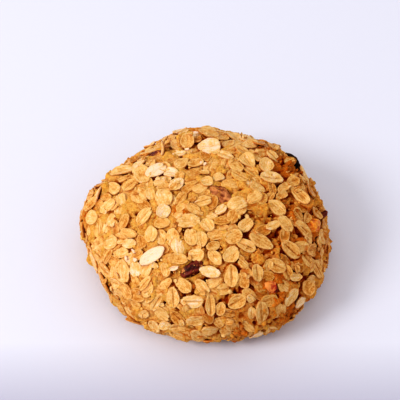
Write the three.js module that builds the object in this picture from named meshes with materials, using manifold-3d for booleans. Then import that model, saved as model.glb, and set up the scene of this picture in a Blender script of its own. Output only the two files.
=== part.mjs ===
// An oatmeal raisin cookie: a thick, domed drop cookie whose dough is covered all over with rolled oat
// flakes, with raisins and two brighter pieces of dried fruit sunk in pockets of the dough.
// Millimetres, +Z up. The origin is in the middle of the flat underside. -Y is the front and +X the right.
import * as THREE from "three";
import { mergeVertices } from "three/addons/utils/BufferGeometryUtils.js";
import Module from "manifold-3d";

const wasm = await Module();
wasm.setup();

// The mound of dough. Its widest level is WAIST_HEIGHT above the table, and it curls under below that.
// Its plan has a radius every 30 degrees from +X.
const PLAN_RADII = [49.5, 47.5, 46, 50.5, 48.5, 49, 48.5, 47.7, 47.8, 49, 49.5, 48.5];
const WAIST_HEIGHT = 9.5;
const DOME_RISE = 31.5; // from the waist to the top
const UNDERCUT_DEPTH = 15; // of the curl under the waist, had it closed on itself
const FULLNESS = 2.2; // 2 would be an ellipsoid, and more is boxier
const DOUGH_DETAIL = 6; // subdivisions of the icosahedron that becomes the mound

// A place on the dough is given by at: an azimuth from +X and an angle above the waist, both in degrees.
// Swellings and dents of the mound have a reach and a rise in millimetres.
const LUMPS = [
  { name: "left lobe", at: [172, 20], reach: 20, rise: 4.4 },
  { name: "dent behind the left lobe", at: [150, 18], reach: 12, rise: -3 },
  { name: "back left hollow", at: [127, 30], reach: 10, rise: -1.4 },
  { name: "back shoulder", at: [104, 30], reach: 14, rise: 1 },
  { name: "back right shoulder", at: [45, 28], reach: 15, rise: 3.6 },
  { name: "right dent", at: [358, 6], reach: 13, rise: -1.3 },
  { name: "front right lobe", at: [315, -4], reach: 12, rise: 1 },
  { name: "front dent", at: [270, -4], reach: 14, rise: -1.2 },
  { name: "front left lobe", at: [226, -4], reach: 12, rise: 0.4 },
  { name: "left dent", at: [195, 0], reach: 12, rise: -1.9 },
];

// Raisins and dried fruit. Turn is the long axis's angle from the contour, size is length, width and depth,
// proud is how far the middle stands above the dough, and tilt raises the end that points uphill.
const FRUIT = [
  { name: "raisin_top", at: [339, 81], turn: 69, size: [11.6, 7.4, 5.5], proud: -1.4, skin: "brown" },
  { name: "raisin_front", at: [259, 36], turn: 48, size: [10.2, 5.6, 6], proud: -1.4, skin: "dark" },
  { name: "raisin_shoulder", at: [35, 25], turn: 0, size: [12, 6, 6], proud: -1, skin: "burnt" },
  { name: "raisin_rear_left", at: [130, 36], turn: 120, size: [9, 6.5, 5.5], proud: -1.6, skin: "dark" },
  { name: "raisin_right_side", at: [4, 14], turn: 90, tilt: 75, size: [7.5, 3.4, 3.2], proud: -1, skin: "dark" },
  { name: "raisin_back", at: [84, 11], turn: 15, size: [9.5, 7, 6], proud: -1.2, skin: "dark" },
  { name: "raisin_back_left", at: [118, 9], turn: 160, size: [9, 6.5, 5.5], proud: -1.4, skin: "dark" },
  { name: "raisin_back_right", at: [58, 8], turn: 40, size: [8.5, 6.5, 5.5], proud: -1, skin: "dark" },
  { name: "fruit_red", at: [304, 21], turn: 129, size: [8.8, 5.6, 5], proud: -1.2, skin: "red" },
  { name: "fruit_orange", at: [351, 22], turn: 148, size: [8.4, 6, 5.5], proud: -0.6, skin: "orange" },
];
const SKIN_COLORS = { brown: 0x8a4a32, dark: 0x3a0a14, burnt: 0x170a0a, red: 0xa62a18, orange: 0xdb7a1c };
const SKIN_ROUGHNESS = 0.45;
const DOUGH_COLOR = 0xd79a4e;
const DOUGH_ROUGHNESS = 0.75;
const FRUIT_DETAIL = 2; // subdivisions of a fruit's icosahedron
const POCKET_DETAIL = 1;
const POCKET_INRADIUS = 0.93; // of an icosahedron with POCKET_DETAIL, whose corners are at 1
const POCKET_GAP = 0.36; // between a fruit and the dough
const WRINKLE_COUNT = 5; // furrows round a fruit, which run along it
const WRINKLE_DEPTH = 0.16; // as a share of its size
const FRUIT_ROOM = 0.6; // kept free of a seeded flake's middle, beyond what any flake keeps

// Knobs of toasted dough between the flakes, placed as fruit is.
const CRAGS = [
  { at: [31, 39], turn: 20, size: [7, 5, 4], proud: -0.9 },
  { at: [38, 36], turn: 100, size: [6, 4, 4], proud: -0.5 },
  { at: [23, 37], turn: 70, size: [5, 3.5, 3], proud: -0.3 },
  { at: [29, 33], turn: 140, size: [6.5, 4.5, 4], proud: -0.8 },
  { at: [128, 46], turn: 60, size: [5, 4, 4], proud: 0.3 },
];
const CRAG_DETAIL = 1;
const CRAG_NOTCH = 0.22; // depth of the notches in a crag, as a share of its size
const CRAG_ROOM = 1;

// Flakes with places of their own, each region from its lowest layer up. Tilt swings a flake about the
// hinge, an angle from the contour: below 0 with no hinge lifts its downhill edge.
const PLACED_FLAKES = [
  // The left shoulder.
  { at: [160, 46], turn: 47, length: 10.5, width: 7 },
  { at: [171, 42], turn: 141, length: 7.5, width: 5.3 },
  { at: [182, 47], turn: 25, length: 8.7, width: 7 },
  { at: [182, 38], turn: 11, length: 5.9, width: 4.3 },
  { at: [183, 53], turn: 1, length: 5.9, width: 4 },
  { at: [192, 60], turn: 5, length: 8.2, width: 7 },
  { at: [183, 31], turn: 95, length: 8, width: 5.4 },
  { at: [165, 58], turn: 141, length: 7.3, width: 4.8 },
  { at: [129, 28], turn: 157, length: 8.8, width: 5.2, tilt: 5, hinge: 90 },
  { at: [141, 28], turn: 49, length: 5.4, width: 4, tilt: 19, hinge: 180 },
  { at: [158, 34], turn: 128, length: 10, width: 5.4, tilt: 19, hinge: 180 },
  { at: [173, 26], turn: 141, length: 6.8, width: 4.2, tilt: 26 },
  { at: [168, 68], turn: 150, length: 7.1, width: 5.3 },
  { at: [126, 59], turn: 23, length: 7.5, width: 5.6 },
  { at: [153, 52], turn: 147, length: 9, width: 5.5, tilt: -12 },
  { at: [149, 61], turn: 100, length: 6.5, width: 5, tilt: -10 },
  { at: [126, 40], turn: 60, length: 8.5, width: 5.6, tilt: 67, hinge: 60 },
  // The crown.
  { at: [91, 30], turn: 13, length: 7.2, width: 4.8, tilt: 16, hinge: 180 },
  { at: [107, 44], turn: 65, length: 7.4, width: 5.8, tilt: 33, hinge: 180 },
  { at: [114, 40], turn: 85, length: 8.9, width: 5.5 },
  { at: [119, 50], turn: 126, length: 6.6, width: 4.1 },
  { at: [70, 57], turn: 174, length: 7.3, width: 4.1 },
  { at: [73, 45], turn: 78, length: 7.6, width: 5.1 },
  { at: [50, 61], turn: 176, length: 7.2, width: 5.5 },
  { at: [56, 77], turn: 66, length: 5, width: 4.1 },
  { at: [103, 84], turn: 5, length: 5.2, width: 4.6 },
  { at: [177, 84], turn: 114, length: 6.1, width: 4.5 },
  { at: [246, 78], turn: 40, length: 8.4, width: 5.2 },
  { at: [202, 70], turn: 124, length: 6.4, width: 4.3 },
  { at: [297, 71], turn: 24, length: 6.1, width: 3.7 },
  { at: [276, 68], turn: 148, length: 5, width: 3.5 },
  { at: [239, 70], turn: 177, length: 6.2, width: 3.9 },
  { at: [269, 61], turn: 120, length: 6.4, width: 5.2 },
  { at: [89, 52], turn: 5, length: 9.2, width: 7.4, tilt: -24 },
  { at: [331, 67], turn: 141, length: 8.6, width: 6.6 },
  // The right shoulder.
  { at: [58, 40], turn: 87, length: 8.7, width: 5.8 },
  { at: [46, 53], turn: 165, length: 7.4, width: 6.3 },
  { at: [40, 38], turn: 10, length: 6.4, width: 4.5 },
  { at: [33, 46], turn: 136, length: 8, width: 6.1 },
  { at: [52, 20], turn: 48, length: 5.4, width: 3.8, tilt: 48, hinge: 90 },
  { at: [5, 57], turn: 88, length: 6.5, width: 4.6 },
  { at: [10, 41], turn: 122, length: 7.9, width: 3.5 },
  { at: [2, 43], turn: 129, length: 6.4, width: 3.4 },
  { at: [16, 35], turn: 118, length: 6.6, width: 5 },
  { at: [350, 59], turn: 145, length: 7.2, width: 5.6 },
  { at: [313, 54], turn: 3, length: 6.9, width: 5.2 },
  { at: [330, 43], turn: 154, length: 6.7, width: 3.6 },
  { at: [338, 38], turn: 59, length: 7.6, width: 5.8 },
  { at: [351, 33], turn: 64, length: 5.6, width: 4.6 },
  { at: [19, 47], turn: 79, length: 9.5, width: 6, tilt: -14 },
  { at: [348, 45], turn: 66, length: 8.4, width: 6, tilt: -10 },
  { at: [5, 33], turn: 40, length: 9.5, width: 5.8, tilt: -24 },
  { at: [343, 28], turn: 82, length: 9.5, width: 5, tilt: -8 },
  { at: [14, 24], turn: 170, length: 8, width: 5.6, tilt: -4 },
  { at: [26, 23], turn: 10, length: 8.5, width: 5.2, tilt: 8 },
  // The left side.
  { at: [203, 46], turn: 109, length: 8.6, width: 4.9 },
  { at: [208, 35], turn: 37, length: 8.2, width: 3.5 },
  { at: [193, 31], turn: 2, length: 7.1, width: 4.3 },
  { at: [197, 17], turn: 63, length: 9.3, width: 5.2 },
  { at: [213, 32], turn: 47, length: 6.3, width: 4 },
  { at: [213, 26], turn: 55, length: 7.1, width: 4 },
  { at: [219, 37], turn: 148, length: 5.7, width: 4.1 },
  { at: [228, 45], turn: 147, length: 6.3, width: 5.1 },
  { at: [216, 16], turn: 126, length: 7.1, width: 5.8 },
  { at: [232, 28], turn: 86, length: 7.2, width: 4.6 },
  { at: [221, 7], turn: 50, length: 8.9, width: 5.6 },
  { at: [210, 56], turn: 115, length: 6.5, width: 5.5 },
  { at: [221, 43], turn: 135, length: 7, width: 5.4 },
  { at: [220, 20], turn: 133, length: 9, width: 6.4, tilt: -8 },
  { at: [203, 25], turn: 56, length: 8.4, width: 5.8 },
  // The front.
  { at: [238, 48], turn: 130, length: 7.9, width: 5.4 },
  { at: [263, 52], turn: 104, length: 6.6, width: 5 },
  { at: [253, 52], turn: 114, length: 7.5, width: 5.4 },
  { at: [248, 39], turn: 9, length: 7.9, width: 4.6 },
  { at: [274, 48], turn: 20, length: 6.2, width: 3.6 },
  { at: [275, 42], turn: 127, length: 6.8, width: 4.6 },
  { at: [294, 51], turn: 178, length: 7.1, width: 6.1 },
  { at: [243, 32], turn: 127, length: 5.9, width: 3.6 },
  { at: [293, 36], turn: 109, length: 4.9, width: 3.6 },
  { at: [290, 29], turn: 88, length: 6.6, width: 4.7 },
  { at: [291, 22], turn: 134, length: 6.5, width: 4.6 },
  { at: [238, 20], turn: 83, length: 7.1, width: 4.5 },
  { at: [244, 16], turn: 73, length: 8.9, width: 3.5 },
  { at: [246, 26], turn: 57, length: 6.2, width: 3.5 },
  { at: [239, 7], turn: 58, length: 6.1, width: 3.6 },
  { at: [271, 20], turn: 92, length: 9.2, width: 3.8 },
  { at: [276, 18], turn: 72, length: 6, width: 3.9 },
  { at: [264, 12], turn: 21, length: 7.5, width: 5.5 },
  { at: [231, 35], turn: 63, length: 11.3, width: 5.4, tilt: -8 },
  { at: [245, 45], turn: 126, length: 6.5, width: 5.5 },
  { at: [271, 35], turn: 165, length: 8, width: 4.5, tilt: 8 },
  { at: [262, 21], turn: 8, length: 8.5, width: 5.2, tilt: -10 },
  { at: [242, 61], turn: 36, length: 9.8, width: 5.6 },
  { at: [313, 42], turn: 118, length: 10.5, width: 5.4 },
  { at: [326, 29], turn: 98, length: 9.8, width: 5.6 },
  { at: [312, 28], turn: 127, length: 8.2, width: 5.6 },
  { at: [284, 32], turn: 81, length: 8, width: 5.8 },
  { at: [299, 30], turn: 64, length: 7, width: 5.2 },
  { at: [287, 42], turn: 34, length: 7.4, width: 5.8 },
  { at: [252, 21], turn: 104, length: 8, width: 5.4 },
  { at: [261, 43], turn: 5, length: 6.4, width: 5.3 },
  { at: [226, 25], turn: 129, length: 6, width: 5.4 },
  { at: [235, 22], turn: 73, length: 6.9, width: 3.8 },
  { at: [248, 34], turn: 38, length: 3.8, width: 1.8 },
  // The lower rim and the right side.
  { at: [255, 0], turn: 166, length: 7.4, width: 4.5, tilt: 7, hinge: 270 },
  { at: [271, 7], turn: 167, length: 7, width: 4.6, tilt: 20, hinge: 90 },
  { at: [278, 4], turn: 160, length: 5.1, width: 4.4 },
  { at: [288, 7], turn: 123, length: 7.5, width: 3.3 },
  { at: [292, -2], turn: 56, length: 6.6, width: 4.5, tilt: 2, hinge: 90 },
  { at: [316, 5], turn: 175, length: 6, width: 4.5, tilt: 14 },
  { at: [337, 19], turn: 136, length: 8.2, width: 5.1 },
  { at: [358, 13], turn: 171, length: 6.5, width: 4.6, tilt: 10, hinge: 270 },
  { at: [1, -2], turn: 60, length: 7.5, width: 5, tilt: 9 },
  { at: [323, 20], turn: 129, length: 5.9, width: 3.6 },
  { at: [334, 9], turn: 80, length: 8.6, width: 6, tilt: -18 },
  { at: [322, 9], turn: 179, length: 6.6, width: 6, tilt: 37, hinge: 180 },
  { at: [304, 9], turn: 82, length: 6.6, width: 6, tilt: -6 },
  { at: [295, 12], turn: 82, length: 10.5, width: 5.6 },
  { at: [0, 21], turn: 83, length: 6.5, width: 4.4 },
];

// The flakes that lie on the dough wherever there is room, the largest first.
const FLAKE_COUNT = 70;
const FLAKE_LENGTH = [6.8, 9.8]; // of the last and the first
const FLAKE_LENGTH_SPREAD = 1.4;
const FLAKE_SLENDERNESS = [1.3, 1.8]; // length over width
const FLAKE_TILT = 13; // degrees, at most
const FLAKE_THICKNESS = 1.5;
const FLAKE_PROUD = 0.15; // how far the middle of a flake's thickness stands above the dough
const FLAKE_SIDES = 6;
const FLAKE_TAPER = 0.84; // the upper face's size as a share of the lower one's
const TILTED_RISE = 0.7; // how much of what a tilt lowers is raised again
const SPOT_TRIES = 14; // places looked at for each flake, of which the one with the most room is taken
const LOWEST_SHARE = 0.965; // of the dough's area, from the top down, that flakes' middles lie on
const SPOT_SEED = 41;
const FLAKE_SEED = 1000;

const UP = new THREE.Vector3(0, 0, 1);
const HEART = new THREE.Vector3(0.9, -0.8, WAIST_HEIGHT); // in the waist, where directions start
const TABLE_SLAB = [200, 200, 40];
const { degToRad } = THREE.MathUtils;

// A repeatable stream of random numbers from 0 to 1 for each seed.
function drawsFrom(seed) {
  let state = seed >>> 0;
  return () => {
    state = (state + 0x6d2b79f5) >>> 0;
    let t = Math.imul(state ^ (state >>> 15), state | 1);
    t ^= t + Math.imul(t ^ (t >>> 7), t | 61);
    return ((t ^ (t >>> 14)) >>> 0) / 4294967296;
  };
}

function between([low, high], share) {
  return low + (high - low) * share;
}

// The unit vector at an azimuth from +X and an angle above the waist, both in radians.
function directionAt(azimuth, angle) {
  const across = Math.cos(angle);
  return new THREE.Vector3(across * Math.cos(azimuth), across * Math.sin(azimuth), Math.sin(angle));
}

function directionOf(place) {
  return directionAt(...place.at.map(degToRad));
}

// The plan's radius at an azimuth: a closed Catmull-Rom curve through PLAN_RADII.
function planRadius(azimuth) {
  const count = PLAN_RADII.length;
  const turns = azimuth / (2 * Math.PI);
  const at = (turns - Math.floor(turns)) * count;
  const step = Math.floor(at);
  const f = at - step;
  const [a, b, c, d] = [-1, 0, 1, 2].map((k) => PLAN_RADII[(step + k + count) % count]);
  return b + 0.5 * f * (c - a + f * (2 * a - 5 * b + 4 * c - d + f * (3 * (b - c) + d - a)));
}

// The distance from HEART to the dough before its lumps, where the plan has the radius given.
function plainReach(across, height, radius) {
  const rise = height > 0 ? DOME_RISE : UNDERCUT_DEPTH;
  return ((across / radius) ** FULLNESS + (Math.abs(height) / rise) ** FULLNESS) ** (-1 / FULLNESS);
}

// The dough's point in a direction from HEART.
function doughPoint(direction) {
  const across = Math.hypot(direction.x, direction.y);
  let reach = plainReach(across, direction.z, planRadius(Math.atan2(direction.y, direction.x)));
  for (const lump of LUMPS) {
    const away = direction.angleTo(directionOf(lump)) * reach;
    reach += lump.rise * Math.exp(-((away / lump.reach) ** 2));
  }
  return direction.clone().multiplyScalar(reach).add(HEART);
}

// Three unit vectors at a point of the dough: along the slope's contour, uphill, and out of the dough.
function doughAxes(direction) {
  const step = 0.02;
  const contour = new THREE.Vector3().crossVectors(UP, direction).normalize();
  const uphill = new THREE.Vector3().crossVectors(direction, contour);
  const nudged = (axis, by) => doughPoint(direction.clone().addScaledVector(axis, by).normalize());
  const along = nudged(contour, step).sub(nudged(contour, -step));
  const up = nudged(uphill, step).sub(nudged(uphill, -step));
  const out = new THREE.Vector3().crossVectors(along, up).normalize();
  along.addScaledVector(out, -along.dot(out)).normalize();
  return { along, up: up.crossVectors(out, along), out };
}

// The angle above the waist at each share of a round mound's area, from its top (0) down to the table (1).
function angleByArea() {
  const rows = 120;
  const top = Math.PI / 2;
  const table = -Math.atan(WAIST_HEIGHT / Math.max(...PLAN_RADII));
  const radius = PLAN_RADII.reduce((sum, r) => sum + r) / PLAN_RADII.length;
  const angles = [top];
  const areas = [0];
  let [across, height] = [0, DOME_RISE];
  for (let row = 1; row <= rows; row++) {
    const angle = top + ((table - top) * row) / rows;
    const reach = plainReach(Math.cos(angle), Math.sin(angle), radius);
    const [nextAcross, nextHeight] = [reach * Math.cos(angle), reach * Math.sin(angle)];
    const slope = Math.hypot(nextAcross - across, nextHeight - height);
    angles.push(angle);
    areas.push(areas[row - 1] + (across + nextAcross) * slope);
    [across, height] = [nextAcross, nextHeight];
  }
  return (share) => {
    const wanted = share * areas[rows];
    const row = Math.max(1, areas.findIndex((area) => area >= wanted));
    const part = (wanted - areas[row - 1]) / (areas[row] - areas[row - 1]);
    return between([angles[row - 1], angles[row]], part);
  };
}

// The placement of something that lies on the dough. Turn, tilt and hinge are in degrees.
function lyingOnDough(direction, { turn, proud, tilt = 0, hinge = 0 }) {
  const { along, up, out } = doughAxes(direction);
  const place = new THREE.Matrix4().makeBasis(along, up, out);
  place.setPosition(doughPoint(direction).addScaledVector(out, proud));
  const hingeAxis = new THREE.Vector3(Math.cos(degToRad(hinge)), Math.sin(degToRad(hinge)), 0);
  place.multiply(new THREE.Matrix4().makeRotationAxis(hingeAxis, degToRad(tilt)));
  return place.multiply(new THREE.Matrix4().makeRotationZ(degToRad(turn)));
}

function solidOf(geometry, placement) {
  const bare = new THREE.BufferGeometry().setAttribute("position", geometry.getAttribute("position"));
  bare.setIndex(geometry.index);
  bare.applyMatrix4(placement);
  const merged = mergeVertices(bare, 1e-4);
  const mesh = new wasm.Mesh({
    numProp: 3,
    vertProperties: merged.attributes.position.array,
    triVerts: new Uint32Array(merged.index.array),
  });
  return new wasm.Manifold(mesh);
}

function geometryOf(solid) {
  const mesh = solid.getMesh();
  const geometry = new THREE.BufferGeometry();
  geometry.setAttribute("position", new THREE.BufferAttribute(mesh.vertProperties, 3));
  geometry.setIndex(new THREE.BufferAttribute(mesh.triVerts, 1));
  geometry.computeVertexNormals();
  return geometry;
}

// An icosahedron of unit radius whose points are moved by a function of their direction.
function ball(detail, moved) {
  const geometry = new THREE.IcosahedronGeometry(1, detail);
  const position = geometry.attributes.position;
  for (let i = 0; i < position.count; i++) {
    const point = moved(new THREE.Vector3().fromBufferAttribute(position, i).normalize());
    position.setXYZ(i, point.x, point.y, point.z);
  }
  return geometry;
}

function mound() {
  return solidOf(ball(DOUGH_DETAIL, doughPoint), new THREE.Matrix4());
}

// A thin disc with few sides, drawn out to an oval and tapered towards its upper face.
function flakeSolid(length, width, placement) {
  const disc = new THREE.CylinderGeometry(0.5 * FLAKE_TAPER, 0.5, FLAKE_THICKNESS, FLAKE_SIDES);
  disc.rotateX(Math.PI / 2);
  disc.rotateZ(Math.PI / 2); // corners at the ends of the length
  disc.scale(length, width, 1);
  return solidOf(disc, placement);
}

// A tilted flake is raised, so that its lower edge bites into the dough and its higher one stands free.
function placedFlake(flake) {
  const { turn, length, width, tilt = 0, hinge = 0 } = flake;
  const fromHinge = degToRad(turn - hinge);
  const halfAcross = Math.hypot(length * Math.sin(fromHinge), width * Math.cos(fromHinge)) / 2;
  const proud = FLAKE_PROUD + TILTED_RISE * halfAcross * Math.sin(Math.abs(degToRad(tilt)));
  return flakeSolid(length, width, lyingOnDough(directionOf(flake), { turn, proud, tilt, hinge }));
}

// Directions for the seeded flakes. Each is the one of a few random places with the most room round it.
function roomySpots() {
  const draw = drawsFrom(SPOT_SEED);
  const angleAt = angleByArea();
  const taken = [
    ...FRUIT.map((fruit) => ({ middle: doughPoint(directionOf(fruit)), room: FRUIT_ROOM })),
    ...CRAGS.map((crag) => ({ middle: doughPoint(directionOf(crag)), room: CRAG_ROOM })),
    ...PLACED_FLAKES.map((flake) => ({ middle: doughPoint(directionOf(flake)), room: 0 })),
  ];
  const spots = [];
  for (let i = 0; i < FLAKE_COUNT; i++) {
    let best = { room: -Infinity };
    for (let k = 0; k < SPOT_TRIES; k++) {
      const azimuth = 2 * Math.PI * draw();
      const direction = directionAt(azimuth, angleAt(LOWEST_SHARE * draw()));
      const middle = doughPoint(direction);
      const room = Math.min(...taken.map((other) => other.middle.distanceTo(middle) - other.room));
      if (room > best.room) best = { direction, middle, room };
    }
    taken.push({ middle: best.middle, room: 0 });
    spots.push(best.direction);
  }
  return spots;
}

function seededFlakes() {
  return roomySpots().map((direction, i) => {
    const draw = drawsFrom(FLAKE_SEED + i);
    const typical = between(FLAKE_LENGTH, 1 - i / FLAKE_COUNT);
    const length = typical + FLAKE_LENGTH_SPREAD * (draw() - 0.5);
    const width = length / between(FLAKE_SLENDERNESS, draw());
    const turn = 180 * draw();
    const hinge = 360 * draw();
    const tilt = FLAKE_TILT * draw();
    return flakeSolid(length, width, lyingOnDough(direction, { turn, proud: FLAKE_PROUD, tilt, hinge }));
  });
}

function crag(place) {
  const notch = (direction) => {
    const wave = Math.sin(9 * direction.x + place.turn) * Math.cos(8 * direction.y - 7 * direction.z);
    return 1 - CRAG_NOTCH * (1 + wave);
  };
  const knob = ball(CRAG_DETAIL, (direction) => direction.multiplyScalar(notch(direction)));
  return solidOf(knob.scale(...place.size.map(half)), lyingOnDough(directionOf(place), place));
}

// A shrivelled fruit: an ellipsoid with furrows along it that fade out at its ends.
function fruitGeometry({ size, turn }) {
  const furrow = (direction) => {
    const round = Math.atan2(direction.z, direction.y);
    const wave = 0.5 + 0.5 * Math.cos(WRINKLE_COUNT * round + 2 * direction.x + turn);
    return 1 - WRINKLE_DEPTH * wave * (1 - direction.x ** 2);
  };
  const shrivelled = ball(FRUIT_DETAIL, (direction) => direction.multiplyScalar(furrow(direction)));
  return shrivelled.scale(...size.map(half));
}

function half(length) {
  return length / 2;
}

// What a fruit takes out of the dough: an ellipsoid that clears it by POCKET_GAP all round.
function pocket(fruit, placement) {
  const radii = fruit.size.map((length) => (half(length) + POCKET_GAP) / POCKET_INRADIUS);
  return solidOf(ball(POCKET_DETAIL, (direction) => direction).scale(...radii), placement);
}

// Everything below the table is cut away, which leaves the flat underside.
function belowTable() {
  const topAtTable = new THREE.Matrix4().makeTranslation(0, 0, -half(TABLE_SLAB[2]));
  return solidOf(new THREE.BoxGeometry(...TABLE_SLAB), topAtTable);
}

// The dough with its flakes and crags, without any scrap that a pocket cut loose.
function cookieSolid(placements) {
  const fused = [...PLACED_FLAKES.map(placedFlake), ...seededFlakes(), ...CRAGS.map(crag)];
  const grown = wasm.Manifold.union([mound(), ...fused]);
  const pockets = FRUIT.map((fruit, i) => pocket(fruit, placements[i]));
  const bodies = grown.subtract(wasm.Manifold.union([belowTable(), ...pockets])).decompose();
  return bodies.reduce((largest, body) => (body.volume() > largest.volume() ? body : largest));
}

function piece(name, solid, color, roughness) {
  const material = new THREE.MeshStandardMaterial({ color, roughness, metalness: 0 });
  const mesh = new THREE.Mesh(geometryOf(solid), material);
  mesh.name = name;
  return mesh;
}

const placements = FRUIT.map((fruit) => lyingOnDough(directionOf(fruit), fruit));
const cookie = new THREE.Group();
cookie.add(piece("cookie", cookieSolid(placements), DOUGH_COLOR, DOUGH_ROUGHNESS));
FRUIT.forEach((fruit, i) => {
  const solid = solidOf(fruitGeometry(fruit), placements[i]);
  cookie.add(piece(fruit.name, solid, SKIN_COLORS[fruit.skin], SKIN_ROUGHNESS));
});

export default cookie;
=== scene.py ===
"""Dresses the cookie's solids: baked dough, rolled oat flakes, crumbs, raisins and dried fruit."""

import functools
import itertools
import math
from dataclasses import dataclass
from typing import NamedTuple

import bpy
import numpy as np
from bpy.props import FloatProperty, FloatVectorProperty, IntProperty, PointerProperty
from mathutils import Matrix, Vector


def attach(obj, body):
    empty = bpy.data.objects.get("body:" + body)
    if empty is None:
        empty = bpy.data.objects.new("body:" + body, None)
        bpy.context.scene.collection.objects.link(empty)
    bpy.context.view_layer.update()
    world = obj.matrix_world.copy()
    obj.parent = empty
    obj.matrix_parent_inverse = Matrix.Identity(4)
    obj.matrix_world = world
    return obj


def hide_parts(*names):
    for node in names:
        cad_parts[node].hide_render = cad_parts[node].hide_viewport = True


bl_info = {
    "name": "Oatmeal Raisin Cookie",
    "version": (1, 0, 0),
    "blender": (4, 5, 0),
    "location": "3D View > Sidebar > Cookie",
    "description": "Makes the dough, oat flakes, crumbs, raisins and dried fruit of a thick oatmeal cookie",
    "category": "Add Mesh",
}

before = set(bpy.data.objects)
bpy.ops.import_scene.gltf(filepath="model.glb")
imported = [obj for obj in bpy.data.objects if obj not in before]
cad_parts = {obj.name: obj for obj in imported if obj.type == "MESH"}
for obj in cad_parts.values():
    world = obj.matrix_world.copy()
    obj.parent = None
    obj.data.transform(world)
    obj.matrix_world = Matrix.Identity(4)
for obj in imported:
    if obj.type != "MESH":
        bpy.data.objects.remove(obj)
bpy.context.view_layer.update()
MM = 0.001

# ---------------------------------------------------------------------------------------------------------
# The mound, in millimetres. A place on the dough is given by at: an azimuth from +X and an angle above the
# waist, both in degrees.

HEART = np.array([0.9, -0.8, 9.5])  # in the widest level, where directions start
PLAN_RADII = np.array([49.5, 47.5, 46, 50.5, 48.5, 49, 48.5, 47.7, 47.8, 49, 49.5, 48.5])
DOME_RISE = 31.5
UNDERCUT_DEPTH = 15
FULLNESS = 2.2


class Lump(NamedTuple):
    """A broad rise of the mound, or a dent where rise is below 0."""

    name: str
    at: tuple
    reach: float
    rise: float


LUMPS = [
    Lump(name="left lobe", at=(172, 20), reach=20, rise=4.4),
    Lump(name="dent behind the left lobe", at=(150, 18), reach=12, rise=-3),
    Lump(name="back left hollow", at=(127, 30), reach=10, rise=-1.4),
    Lump(name="back shoulder", at=(104, 30), reach=14, rise=1),
    Lump(name="back right shoulder", at=(45, 28), reach=15, rise=3.6),
    Lump(name="right dent", at=(358, 6), reach=13, rise=-1.3),
    Lump(name="front right lobe", at=(315, -4), reach=12, rise=1),
    Lump(name="front dent", at=(270, -4), reach=14, rise=-1.2),
    Lump(name="front left lobe", at=(226, -4), reach=12, rise=0.4),
    Lump(name="left dent", at=(195, 0), reach=12, rise=-1.9),
]


class Fruit(NamedTuple):
    """A piece of fruit in a pocket of the dough.

    Turn is the long axis's angle from the contour, size is length, width and depth, proud is how far the
    middle stands above the dough, tilt raises the end that points uphill, and pale_end is how much paler
    the end is that the turn points to.
    """

    name: str
    at: tuple
    turn: float
    size: tuple
    proud: float
    skin: str
    tilt: float = 0
    pale_end: float = 0


FRUIT = [
    Fruit(name="raisin_top", at=(339, 81), turn=69, size=(11.6, 7.4, 5.5), proud=-1.4, skin="brown"),
    Fruit(name="raisin_front", at=(259, 36), turn=48, size=(10.2, 5.6, 6), proud=-1.4, skin="dark"),
    Fruit(name="raisin_shoulder", at=(35, 25), turn=0, size=(12, 6, 6), proud=-1, skin="burnt"),
    Fruit(
        name="raisin_rear_left",
        at=(130, 36),
        turn=120,
        size=(9, 6.5, 5.5),
        proud=-1.6,
        skin="dark",
        pale_end=0.35,
    ),
    Fruit(
        name="raisin_right_side",
        at=(4, 14),
        turn=90,
        tilt=75,
        size=(7.5, 3.4, 3.2),
        proud=-1,
        skin="dark",
    ),
    Fruit(name="raisin_back", at=(84, 11), turn=15, size=(9.5, 7, 6), proud=-1.2, skin="dark"),
    Fruit(name="raisin_back_left", at=(118, 9), turn=160, size=(9, 6.5, 5.5), proud=-1.4, skin="dark"),
    Fruit(name="raisin_back_right", at=(58, 8), turn=40, size=(8.5, 6.5, 5.5), proud=-1, skin="dark"),
    Fruit(name="fruit_red", at=(304, 21), turn=129, size=(8.8, 5.6, 5), proud=-1.2, skin="red", pale_end=0.7),
    Fruit(name="fruit_orange", at=(351, 22), turn=148, size=(8.4, 6, 5.5), proud=-0.6, skin="orange"),
]
FRUIT_ROOM = 0.6  # kept free of a seeded flake's middle, beyond what any flake keeps


class Crag(NamedTuple):
    """A knob of toasted dough, with the same measures as fruit."""

    at: tuple
    turn: float
    size: tuple
    proud: float


CRAGS = [
    Crag(at=(31, 39), turn=20, size=(7, 5, 4), proud=-0.9),
    Crag(at=(38, 36), turn=100, size=(6, 4, 4), proud=-0.5),
    Crag(at=(23, 37), turn=70, size=(5, 3.5, 3), proud=-0.3),
    Crag(at=(29, 33), turn=140, size=(6.5, 4.5, 4), proud=-0.8),
    Crag(at=(128, 46), turn=60, size=(5, 4, 4), proud=0.3),
]
CRAG_ROOM = 1
SHOULDER_CRAGS = CRAGS[:4]  # on the right shoulder, with torn dough between them


class Oat(NamedTuple):
    """A flake with a place of its own. Tone is 0 for toasted and 1 for nearly white, crease is a depth."""

    at: tuple
    turn: float
    length: float
    width: float
    tone: float
    crease: float
    tilt: float = 0
    hinge: float = 0


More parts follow.
